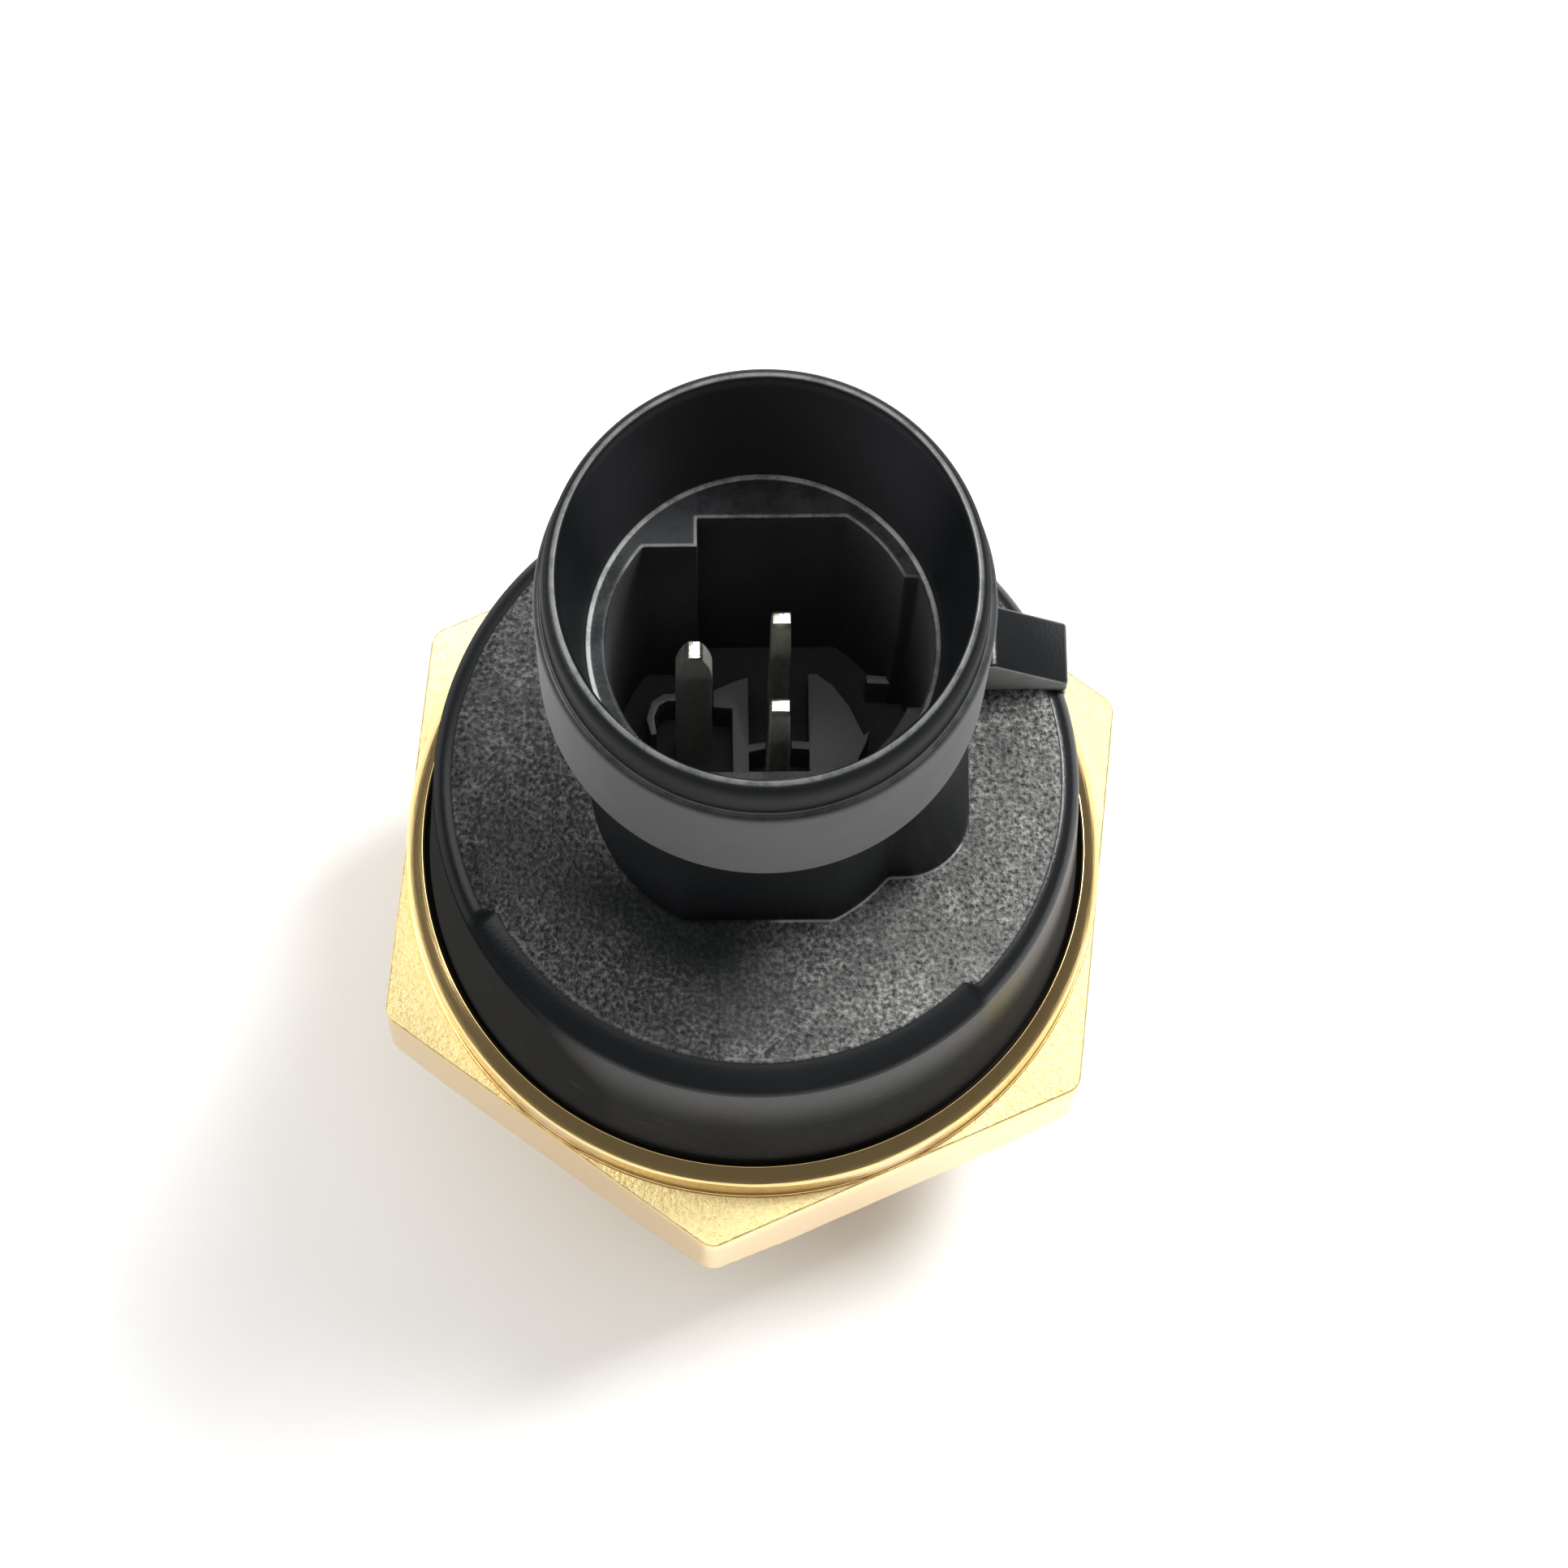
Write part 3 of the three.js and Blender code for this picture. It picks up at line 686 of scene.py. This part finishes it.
def capRings(angles):
    size = housing
    top, bend = size["capTop"], size["capRound"]
    foot, rimFoot = size["flangeBottom"], size["flangeTop"]
    rings = [(0, size["roomTop"]), (size["roomRadius"], size["roomTop"]), (size["roomRadius"], foot)]
    rings += rounded([(size["roomRadius"], foot, 0), (size["flangeRadius"], foot, 0.1),
                      (size["flangeRadius"], rimFoot, 0.1), (size["capFoot"], rimFoot, 0.05),
                      (size["capRadius"], top - bend, 0)], 3)[1:]
    dip = edgeRecess(angles)
    for k in range(1, 13):
        turn = math.radians(90 * k / 12)
        radius = size["capRadius"] - bend + bend * math.cos(turn) - dip * (k / 12) ** 1.5
        rings.append((radius, top - bend * (1 - math.sin(turn)) - 0.5 * dip * math.sin(2 * turn)))
    plate = size["capRadius"] - bend - dip
    raised = top + 0.03  # a low line where the grained plate ends
    return rings + [(plate - 0.05, raised), (plate - 0.2, raised), (plate - 0.4, top), (plate - 1.2, top)]


def neckRings(angles):
    size = housing
    top, foot, collar = size["capTop"], size["wingFoot"], size["collarBottom"]
    rings = [(neckOutline(angles, offset, foot), z)
             for offset, z in rounded([(0.6, top, 0), (0.0, top, 0.28), (0.0, top + 0.6, 0)], 6)]
    for share in (0.25, 0.5, 0.75, 0.97):
        wing = foot + (size["wingTop"] - foot) * share
        rings.append((neckOutline(angles, -0.1 * share, wing), top + share * (collar - top)))
    return rings + [(neckOutline(angles, 0.05, size["wingTop"]), collar)]


def collarRings(angles):
    size = housing
    collar, shoulder, mouth, ledge = size["collarBottom"], size["shoulder"], size["mouthTop"], size["ledge"]
    around, lip = size["collarRadius"], size["lipRadius"]
    bore, inner = size["mouthRadius"], size["ledgeRadius"]
    outline = rounded([(8.0, collar, 0), (around - 0.04, collar, 0.22), (around, shoulder - 0.1, 0.45),
                       (lip + 0.02, shoulder + 0.06, 0.12), (lip - 0.02, mouth - 0.35, 0.95),
                       (size["lipEdge"], mouth, 0.3), (bore + 0.1, mouth, 0.08),
                       (bore - 0.06, mouth - 0.42, 0.3), (bore - 0.25, mouth - 2.6, 0.8),
                       (inner + 0.25, ledge, 0.35), (inner - 0.3, ledge, 0)], 6)[1:-1]
    low, height = outline[0]
    wing = neckOutline(angles, 0.06, size["wingTop"])  # the collar never cuts into the wing
    return [(np.maximum(low, wing), height)] + outline[1:]


def wellRings(angles):
    size = housing
    ledge, floor, draft = size["ledge"], size["wellFloor"], 0.12
    edge = rounded([(0.24, ledge, 0), (0.0, ledge - 0.02, 0.12), (-0.02, ledge - 1.0, 0)], 4)
    rings = [(wellOutline(angles, offset), z) for offset, z in edge]
    rings.append((wellOutline(angles, -draft / 2), (ledge + floor) / 2))
    last = wellOutline(angles, -draft)
    return rings + [(last, floor), (last * 0.5, floor), (0, floor)]


def makeHousing():
    angles = evenAngles(housing["count"])
    rings = capRings(angles) + neckRings(angles) + collarRings(angles) + wellRings(angles)
    return ringMesh("mouldedHousing", angles, rings)


def makeLug():
    size = housing
    inner, outer, front, back = size["lug"]
    foot, crown, low = size["lugFoot"], size["lugTop"], size["lugEdge"]
    side = [(inner, foot), (outer, foot), (outer, low), (size["lugFlat"], crown), (inner, crown)]
    count = len(side)
    vertices = [(x * mm, y * mm, z * mm) for y in (front, back) for x, z in side]
    faces = [tuple(range(count)), tuple(range(2 * count - 1, count - 1, -1))]
    faces += [(k + count, (k + 1) % count + count, (k + 1) % count, k) for k in range(count)]
    return bevelEdges(meshObject("lug", vertices, faces), size["lugBevel"], 3)


# low walls that stand on the socket's floor round the blades, their outlines seen from above
cellWalls = {
    "top": 36.4,
    "left": [(-4.75, 1.2), (-4.55, 0.45), (-4.3, 0.5), (-4.42, 1.25), (-4.2, 1.75), (-3.85, 1.95),
             (-3.4, 1.95), (-3.4, 2.3), (-4.0, 2.28), (-4.5, 1.95)],
    "middle": [(-1.9, 2.4), (-1.9, 1.65), (-1.1, 1.6), (-1.1, -3.9), (-0.4, -3.9), (-0.4, -0.35),
               (0.32, -0.2), (0.32, 0.1), (-0.4, 0.0), (-0.4, 2.98), (-1.0, 2.8)],
    "right": [(2.15, 3.1), (2.5, 3.12), (3.2, 2.6), (3.9, 1.65), (4.5, 0.35), (4.75, 0.6), (4.62, 0.1),
              (3.9, -1.4), (3.2, -3.3), (2.15, -3.3), (2.15, -0.25), (1.4, -0.2), (1.4, 0.15), (2.15, 0.1)],
    "key": [(4.62, 3.05), (6.05, 2.92), (6.5, 2.68), (6.05, 2.6), (4.66, 2.66)],
    "bevel": 0.05,
}


def makeCellWalls():
    floor, top = housing["wellFloor"] - 0.4, cellWalls["top"]
    parts = []
    for name in ("left", "middle", "right", "key"):
        outline = cellWalls[name]
        area = sum(a[0] * b[1] - b[0] * a[1] for a, b in zip(outline, outline[1:] + outline[:1]))
        outline = outline if area > 0 else outline[::-1]
        count = len(outline)
        vertices = [(x * mm, y * mm, z * mm) for z in (floor, top) for x, y in outline]
        faces = [tuple(range(count - 1, -1, -1)), tuple(range(count, 2 * count))]
        faces += [(k, (k + 1) % count, (k + 1) % count + count, k + count) for k in range(count)]
        parts.append(bevelEdges(meshObject(name, vertices, faces), cellWalls["bevel"], 2, 40))
    return smoothShade(combined("socketCellWalls", parts), 35)


plasticTints = {
    "black": (0.008, 0.009, 0.0105), "blackPale": (0.013, 0.014, 0.015), "scuffed": (0.060, 0.056, 0.050),
    "plate": (0.032, 0.034, 0.033), "plateLit": (0.12, 0.123, 0.117), "pit": (0.008, 0.009, 0.009),
    "glintFleck": (0.40, 0.41, 0.385), "paintedNeckShadow": (0.008, 0.009, 0.010), "seam": (0.02, 0.022, 0.022),
    "crack": (0.006, 0.006, 0.006), "brimHighlight": (0.20, 0.20, 0.19), "footHighlight": (0.42, 0.43, 0.41),
    "well": (0.06, 0.061, 0.062), "wellPale": (0.095, 0.097, 0.098), "shelf": (0.048, 0.050, 0.053),
    "mouth": (0.045, 0.046, 0.050), "edgeHighlight": (0.42, 0.43, 0.42), "lipHighlight": (0.17, 0.175, 0.17),
    "litLugFront": (0.28, 0.285, 0.28), "litLugFrontPale": (0.42, 0.425, 0.41), "collar": (0.015, 0.017, 0.019),
    "shoulderHighlight": (0.075, 0.078, 0.082), "cell": (0.07, 0.072, 0.076), "cellTopHighlight": (0.24, 0.245, 0.25),
}
plateMarks = {
    "seams": ((-1.72, 0.25), (-0.12, 0.2), (1.3, 0.3)),  # place across and strength
    "seamEnds": (-6.8, -7.4),
    "crack": (0.42, -12.4, 0.55), "crackMiddle": -12.2,  # place and lean
}


class Moulding:  # the wires and zones that the plastic's coats share
    def __init__(self, paint):
        self.at = paint.place()
        self.x, self.y, self.z = paint.axes(self.at)
        self.radius = (self.x * self.x + self.y * self.y) ** 0.5
        self.fine = paint.noise(self.at, 7.0, 4, 0.6)
        self.swirl = paint.noise(self.at, 0.35, 4, 0.6)
        self.lumps = paint.noise(self.at, 1.1, 3, 0.6)
        self.crumbs = paint.noise(self.at, 4.8, 3, 0.62)
        # a patchy mask that breaks up the painted highlight lines
        self.highlightBreakup = paint.rise(self.lumps + 0.4 * self.fine, 0.5, 0.8, 0.5, 1.0)
        self.findZones(paint.rise)

    def findZones(self, rise):
        size, x, y, z, radius = housing, self.x, self.y, self.z, self.radius
        top, collar, ledge, shoulder = size["capTop"], size["collarBottom"], size["ledge"], size["shoulder"]
        self.plate = rise(z, top - 0.03, top - 0.01) * rise(z, top + 0.3, top + 0.1)
        self.patch = rise(x, -1.9, -1.7) * rise(x, 1.45, 1.25) * rise(y, -6.6, -7.2) * self.plate
        self.litSide = rise(x - y * 0.5 + self.lumps * 5, 6, 17)  # painted light: the right side is painted paler
        # painted shadow of the neck and collar on the cap's front-left
        self.paintedNeckShadow = rise(radius, 11.5, 7.8) * rise(x, 2.5, -2.0) * rise(y, -2.5, -5.5)
        well = rise(radius, 7.1, 7.0) * rise(abs(y), 6.0, 5.9) * rise(z, 33, 33.2)
        self.deep = well * rise(z, ledge - 0.1, ledge - 0.2)
        mouth = rise(radius, size["mouthRadius"] + 0.1, size["mouthRadius"] - 0.05) * rise(z, 49.5, 50)
        self.inside = mouth.above(self.deep)
        front = size["lug"][2]
        # painted light on the lug's front face
        self.litLugFront = rise(y, front + 0.06, front + 0.01) * rise(x, 9, 10) * rise(z, 31.55, 31.7)
        self.satin = rise(z, collar - 0.1, collar + 0.1) * rise(radius, 8.9, 9.0)
        self.satin = self.satin * rise(z, shoulder + 0.02, shoulder - 0.1)


def platePaint(paint, on):  # the grained top of the cap
    tints, marks, rise = plasticTints, plateMarks, paint.rise
    # grain flecks with painted glints, stronger on the painted-lit right side and in broad patches of
    # painted highlight
    glintFlecks = rise(on.crumbs + 0.22 * on.lumps, 0.52, 0.86)
    holes = rise(on.crumbs, 0.46, 0.32)
    broadHighlight = rise(paint.noise(on.at, 0.3, 4, 0.6), 0.36, 0.64, 0.55, 1.35)
    amount = (glintFlecks * (0.34 + 0.5 * on.litSide) * broadHighlight * (1 - 0.3 * on.patch)).below(1.0)
    layers = [(holes * 0.8, tints["pit"]), (amount, tints["glintFleck"])]
    # painted shadow in front of the neck
    layers.append((on.paintedNeckShadow * 0.88, tints["paintedNeckShadow"]))
    for seam, strength in marks["seams"]:  # left by the mould's insert
        line = rise(abs(on.x - seam + 0.1 * on.fine), 0.07, 0.03) * rise(on.y, *marks["seamEnds"])
        layers.append((line * on.plate * strength, tints["seam"]))
    crackX, crackY, lean = marks["crack"]
    crack = abs(on.x - crackX - lean * (on.y - crackY) + 0.9 * (on.lumps - 0.5))
    crack = crack + 0.2 * rise(abs(on.y - marks["crackMiddle"]), 0.35, 0.8)
    layers.append((rise(crack, 0.09, 0.04) * 0.9, tints["crack"]))
    # painted light: the plate's ground colour turns paler towards the right side
    return paint.coats(paint.mix(on.litSide, tints["plate"], tints["plateLit"]), layers)


def capLayers(paint, on):
    size, tints, rise = housing, plasticTints, paint.rise
    top = size["capTop"]
    scuff = rise(paint.noise(paint.stretched(on.at, 0.7, 0.7, 3.5), 0.8, 5, 0.75), 0.56, 0.74)
    side = rise(on.z, top - 0.9, top - 1.6) * rise(on.radius, 13.6, 14.0)
    brimRadius = size["capRadius"] - size["capRound"] - size["recessDepth"] - 0.08
    # painted highlight along the front of the line where the grained plate ends
    brimHighlight = rise(abs(on.radius - brimRadius), 0.1, 0.03) * rise(on.y, -5, -8)
    brimHighlight = brimHighlight * rise(on.z, top - 0.01, top + 0.02)
    return [
        (side * (0.35 + 0.5 * scuff), tints["scuffed"]),
        (on.plate, platePaint(paint, on)),
        (brimHighlight * rise(on.lumps, 0.4, 0.6) * 0.7, tints["brimHighlight"]),
    ]


def socketLayers(paint, on):
    size, tints, rise = housing, plasticTints, paint.rise
    ledge = size["ledge"]
    shallow = on.inside * (1 - on.deep)
    shelf = shallow * rise(on.z, ledge + 0.05, ledge + 0.01)
    step = shelf * rise(on.x, size["stepX"] + 0.1, size["stepX"] - 0.1) * rise(on.y, 3.6, 4.0)
    mottled = rise(on.lumps + 0.5 * on.fine, 0.55, 0.95)
    farWall = shallow * rise(on.z, ledge + 0.1, ledge + 0.3) * rise(on.y, 2, 6)
    # painted highlights along the ledge's edge and the well's rear top edge
    ledgeHighlight = rise(abs(on.radius - size["ledgeRadius"] - 0.14), 0.11, 0.05)
    ledgeHighlight = ledgeHighlight * rise(on.z, ledge + 0.3, ledge + 0.2) * rise(on.y - on.x, -7, -3, 0.35, 1)
    wellEdgeHighlight = rise(on.z, ledge - 0.12, ledge - 0.08) * rise(on.z, ledge - 0.005, ledge - 0.02)
    wellEdgeHighlight = wellEdgeHighlight * rise(on.y, 2, 4)
    return [
        # painted fill light: the deep well, the shelf and the socket's far wall are painted paler than the
        # black outside
        (on.deep, paint.mix(on.fine, tints["well"], tints["wellPale"])),
        (shelf * (0.25 + 0.6 * mottled + 0.5 * step).below(1.0), tints["shelf"]),
        (farWall, tints["mouth"]),
        ((ledgeHighlight + wellEdgeHighlight * 0.6) * on.highlightBreakup * on.inside, tints["edgeHighlight"]),
    ]


def outsideLayers(paint, on):
    size, tints, rise = housing, plasticTints, paint.rise
    top, shoulder, mouth = size["capTop"], size["shoulder"], size["mouthTop"]
    # painted light on the lug's front face
    lugPaintedLight = paint.mix(on.lumps, tints["litLugFront"], tints["litLugFrontPale"])
    # painted highlight along the front-right edge of the neck's foot
    footHighlight = rise(on.z, top + 0.04, top + 0.08) * rise(on.z, top + 0.24, top + 0.17)
    footHighlight = footHighlight * rise(on.y, -3.0, -3.4) * rise(on.x + on.lumps * 1.5, 0.8, 1.8)
    # painted highlights along the collar's shoulder and the lip's top edge
    shoulderHighlight = rise(abs(on.z - shoulder - 0.03), 0.14, 0.02) * rise(on.radius, 8.6, 8.7)
    lipHighlight = rise(abs(on.radius - size["lipEdge"] - 0.02), 0.17, 0.03)
    lipHighlight = lipHighlight * rise(on.z, mouth - 0.14, mouth - 0.04)
    return [
        (on.litLugFront * rise(on.z, 39, 38), lugPaintedLight),
        (footHighlight * 0.8, tints["footHighlight"]),
        (on.satin * 0.7, tints["collar"]),
        (shoulderHighlight * on.highlightBreakup * 0.8, tints["shoulderHighlight"]),
        (lipHighlight * on.highlightBreakup * 0.9, tints["lipHighlight"]),
    ]


def dullZones(paint, on):  # where the moulding has lost its gloss
    size, rise = housing, paint.rise
    top, collar, shoulder, mouth = size["capTop"], size["collarBottom"], size["shoulder"], size["mouthTop"]
    capWall = rise(on.z, top, top - 1.3) * rise(on.z, top - 1.0, 25, 0.55, 0.95)
    neck = rise(on.z, top + 0.2, top + 0.5) * rise(on.z, collar, collar - 0.2) * rise(on.radius, 9.6, 9.2)
    lip = rise(on.z, shoulder + 0.05, shoulder + 0.3) * rise(on.z, mouth - 0.06, mouth - 0.3)
    outer = (neck * 0.75 + lip * 0.85) * (1 - on.inside)
    bore = on.inside * rise(on.z, mouth - 0.3, mouth - 0.6) * rise(on.x, 4, -4, 0.78, 0.85)
    leftEdge = rise(on.x, -6, -11) * rise(on.radius, 12.4, 12.8) * rise(on.z, top + 0.2, top + 0.1)
    plate = on.paintedNeckShadow * on.plate * 0.8
    return (capWall + outer + bore + on.litLugFront + leftEdge * 0.6 + plate).below(1.0)


def housingPaint():
    paint = Paint("blackPlastic", Specular_IOR_Level=0.35)
    on = Moulding(paint)
    black = paint.mix(on.swirl, plasticTints["black"], plasticTints["blackPale"])
    layers = capLayers(paint, on) + socketLayers(paint, on) + outsideLayers(paint, on)
    paint.set("Base Color", paint.coats(black, layers))
    paint.set("Roughness", 0.16 + 0.08 * on.swirl + 0.30 * on.plate + 0.30 * on.satin + 0.04 * on.fine)
    relief = (1 - 0.4 * on.patch) * (1 - 0.75 * on.paintedNeckShadow)
    grain = paint.bump((on.crumbs + 0.6 * on.lumps) * on.plate * relief, 0.26)
    paint.set("Normal", paint.bump(on.fine * (1 - on.plate), 0.010, grain))
    paint.dulled(dullZones(paint, on))
    return paint


def cellPaint():
    paint = Paint("socketPlastic", Specular_IOR_Level=0.35)
    at = paint.place()
    fine, swirl = paint.noise(at, 7.0, 4, 0.6), paint.noise(at, 0.35, 4, 0.6)
    # painted light: the walls are painted paler than the black moulding, and their tops carry a painted
    # highlight
    litTop = paint.rise(paint.axes(at)[2], cellWalls["top"] - 0.1, cellWalls["top"] - 0.02)
    paint.set("Base Color", paint.mix(litTop, plasticTints["cell"], plasticTints["cellTopHighlight"]))
    paint.set("Roughness", 0.3 + 0.12 * swirl + 0.05 * fine)
    paint.set("Normal", paint.bump(fine, 0.012))
    return paint


housingPiece = makeHousing()
carved(housingPiece, [makeLug()], "UNION")
smoothShade(housingPiece, 30)
finished(housingPiece, housingPaint(), "switch_body", ["connector_housing"])
finished(makeCellWalls(), cellPaint(), "switch_body")
print("housing made", len(housingPiece.data.vertices))


blades = {
    "wide": 1.5, "thick": 0.8, "tipWide": 0.5, "tipThick": 0.74, "tipLength": 2.5,
    "tipTop": highest("common_terminal"), "tipSteps": 6, "bevel": 0.06,
    "common": (-2.76, 0.45), "open": (0.8, 1.75), "closed": (0.7, -1.95),  # places on the socket's floor
}
tails = {
    "shelf": 26.1,           # height at which the tails leave the blades
    "arm": 22.6,             # height of the contact arm
    "contactX": 5.5, "contactHalf": 1.2,
    "outer": -9.6, "inner": -8.9, "armHalf": 1.8,
    "front": -4.6,
    "sheet": 0.5,
}


def bladeMesh(name, at, wideAlongX, bottomZ):
    size = blades
    levels = [(bottomZ, size["wide"], size["thick"])]
    for k in range(size["tipSteps"] + 1):  # a bullet-shaped point
        share = k / size["tipSteps"]
        wide = size["tipWide"] + (size["wide"] - size["tipWide"]) * (1 - share ** 1.7) ** 0.9
        thick = size["thick"] + (size["tipThick"] - size["thick"]) * share
        levels.append((size["tipTop"] - size["tipLength"] * (1 - share), wide, thick))
    vertices, faces = [], []
    for z, wide, thick in levels:
        halfX, halfY = (wide / 2, thick / 2) if wideAlongX else (thick / 2, wide / 2)
        for sideX, sideY in ((-1, -1), (1, -1), (1, 1), (-1, 1)):
            vertices.append(((at[0] + sideX * halfX) * mm, (at[1] + sideY * halfY) * mm, z * mm))
    for level in range(len(levels) - 1):
        base = 4 * level
        faces += [(base + k, base + (k + 1) % 4, base + 4 + (k + 1) % 4, base + 4 + k) for k in range(4)]
    last = 4 * (len(levels) - 1)
    faces += [(3, 2, 1, 0), (last, last + 1, last + 2, last + 3)]
    return bevelEdges(meshObject(name, vertices, faces), size["bevel"], 2, 45)


def withTail(blade, name, boxes):
    parts = [blade] + [boxMesh("tail", low, high, 0.06, 2) for low, high in boxes]
    return smoothShade(combined(name, parts), 35)


def terminalPaint():
    paint = Paint("tinnedBrass", Metallic=1.0)
    at = paint.place()
    z = paint.axes(at)[2]
    tip = blades["tipTop"]
    streaks = paint.noise(paint.stretched(at, 9, 9, 0.8), 1.0, 4, 0.6)
    # painted highlight on the top of each tip
    tipHighlight = paint.rise(z, tip - 0.5, tip - 0.1)
    shoulder = paint.rise(z, tip - 3.2, tip - 2.2) * (1 - tipHighlight)
    colour = paint.mix(streaks, (0.62, 0.63, 0.58), (0.80, 0.80, 0.72))
    paint.set("Base Color", paint.mix(tipHighlight, colour, (0.97, 0.93, 0.80)))
    paint.set("Roughness", 0.34 + 0.2 * streaks + 0.22 * shoulder - 0.14 * tipHighlight)
    paint.set("Normal", paint.bump(streaks, 0.02))
    return paint


def makeTerminals():
    half, sheet = tails["contactHalf"], tails["sheet"]
    wide, thick = blades["wide"] / 2, blades["thick"] / 2
    shelf, arm, contact, front = tails["shelf"], tails["arm"], tails["contactX"], tails["front"]
    outer, inner, armHalf = tails["outer"], tails["inner"], tails["armHalf"]
    tinned = terminalPaint()
    x, y = blades["common"]
    blade = bladeMesh("blade", (x, y), True, shelf)
    common = withTail(blade, "commonTerminal", [
        ((outer, y - thick, shelf - 0.7), (x + wide, y + thick, shelf + 0.4)),
        ((outer, y - thick, arm + 0.4), (inner, y + thick, shelf)),
        ((outer, -armHalf, arm - 0.15), (inner, armHalf, arm + 0.7))])
    x, y = blades["open"]
    blade = bladeMesh("blade", (x, y), False, shelf - 0.4)
    rear = withTail(blade, "openTerminal", [
        ((x - thick, -0.5, shelf - 0.4), (contact + half, y + wide, shelf - 0.4 + sheet)),
        ((contact - half, -half, arm + 3.1), (contact + half, 1.5, shelf))])
    x, y = blades["closed"]
    blade = bladeMesh("blade", (x, y), False, shelf + 0.6)
    near = withTail(blade, "closedTerminal", [
        ((x - thick, front, shelf + 0.6), (contact + half, y + 0.15, shelf + 0.6 + sheet)),
        ((contact - half, front, arm - 1.7), (contact + half, front + sheet, shelf + 0.6 + sheet)),
        ((contact - half, front, arm - 1.7), (contact + half, half, arm - 1.7 + sheet))])
    for made, node in ((common, "common_terminal"), (rear, "open_terminal"), (near, "closed_terminal")):
        finished(made, tinned, "switch_body", [node])


makeTerminals()
print("terminals made")


# the inner pieces keep their shape and get their own finishes
def metalPaint(name, colour, darker, roughness, grainScale, relief, stretch=(1, 1, 1)):
    paint = Paint(name, Metallic=1.0)
    at = paint.place()
    grain = paint.noise(paint.stretched(at, *stretch), grainScale, 4, 0.6)
    paint.set("Base Color", paint.mix(grain, colour, darker))
    paint.set("Roughness", roughness + 0.15 * grain)
    paint.set("Normal", paint.bump(grain, relief))
    return paint


def dullPaint(name, colour, paler, roughness, grainScale, relief):
    paint = Paint(name)
    at = paint.place()
    grain = paint.noise(at, grainScale, 4, 0.6)
    paint.set("Base Color", paint.mix(grain, colour, paler))
    paint.set("Roughness", roughness + 0.12 * grain)
    paint.set("Normal", paint.bump(grain, relief))
    return paint


alongY, around = (1, 9, 1), (1, 1, 9)  # how the grain is squeezed
innerFinishes = {
    "inlet_snubber": metalPaint("sinteredBronze", (0.55, 0.36, 0.17), (0.30, 0.19, 0.09), 0.5, 5.0, 0.08),
    "guide_plate": metalPaint(
        "turnedSteel", (0.60, 0.60, 0.62), (0.50, 0.50, 0.52), 0.25, 1.2, 0.01, around),
    "pressure_piston": metalPaint(
        "groundSteel", (0.63, 0.63, 0.65), (0.53, 0.53, 0.55), 0.2, 1.5, 0.006, around),
    "snap_disc": metalPaint("springSteel", (0.70, 0.69, 0.66), (0.60, 0.59, 0.58), 0.16, 2.0, 0.004),
    "disc_retainer": metalPaint("stampedSteel", (0.57, 0.57, 0.58), (0.47, 0.47, 0.49), 0.3, 1.6, 0.01),
    "arm_rivet": metalPaint("rivetSteel", (0.60, 0.60, 0.60), (0.50, 0.50, 0.52), 0.3, 3.0, 0.01),
    "contact_arm": metalPaint(
        "leafBronze", (0.71, 0.42, 0.24), (0.60, 0.34, 0.19), 0.24, 1.4, 0.006, alongY),
    "moving_contact": metalPaint("silverAlloy", (0.86, 0.86, 0.84), (0.76, 0.76, 0.74), 0.22, 4.0, 0.01),
    "diaphragm": dullPaint("amberFilm", (0.55, 0.27, 0.04), (0.62, 0.34, 0.07), 0.25, 1.0, 0.005),
    "push_pin": dullPaint("groundCeramic", (0.80, 0.78, 0.72), (0.72, 0.70, 0.64), 0.35, 3.0, 0.006),
    "contact_base": dullPaint("baseResin", (0.13, 0.045, 0.025), (0.19, 0.07, 0.04), 0.4, 3.0, 0.015),
    "terminal_sealant": dullPaint(
        "pottingResin", (0.025, 0.022, 0.020), (0.045, 0.040, 0.035), 0.2, 0.6, 0.03),
}
for node, paint in innerFinishes.items():
    repaint(node, paint)
for node in ("closed_contact", "open_contact"):
    repaint(node, innerFinishes["moving_contact"])
for node in ("diaphragm_seal", "housing_seal"):
    repaint(node, rubber)
print("inner pieces painted")
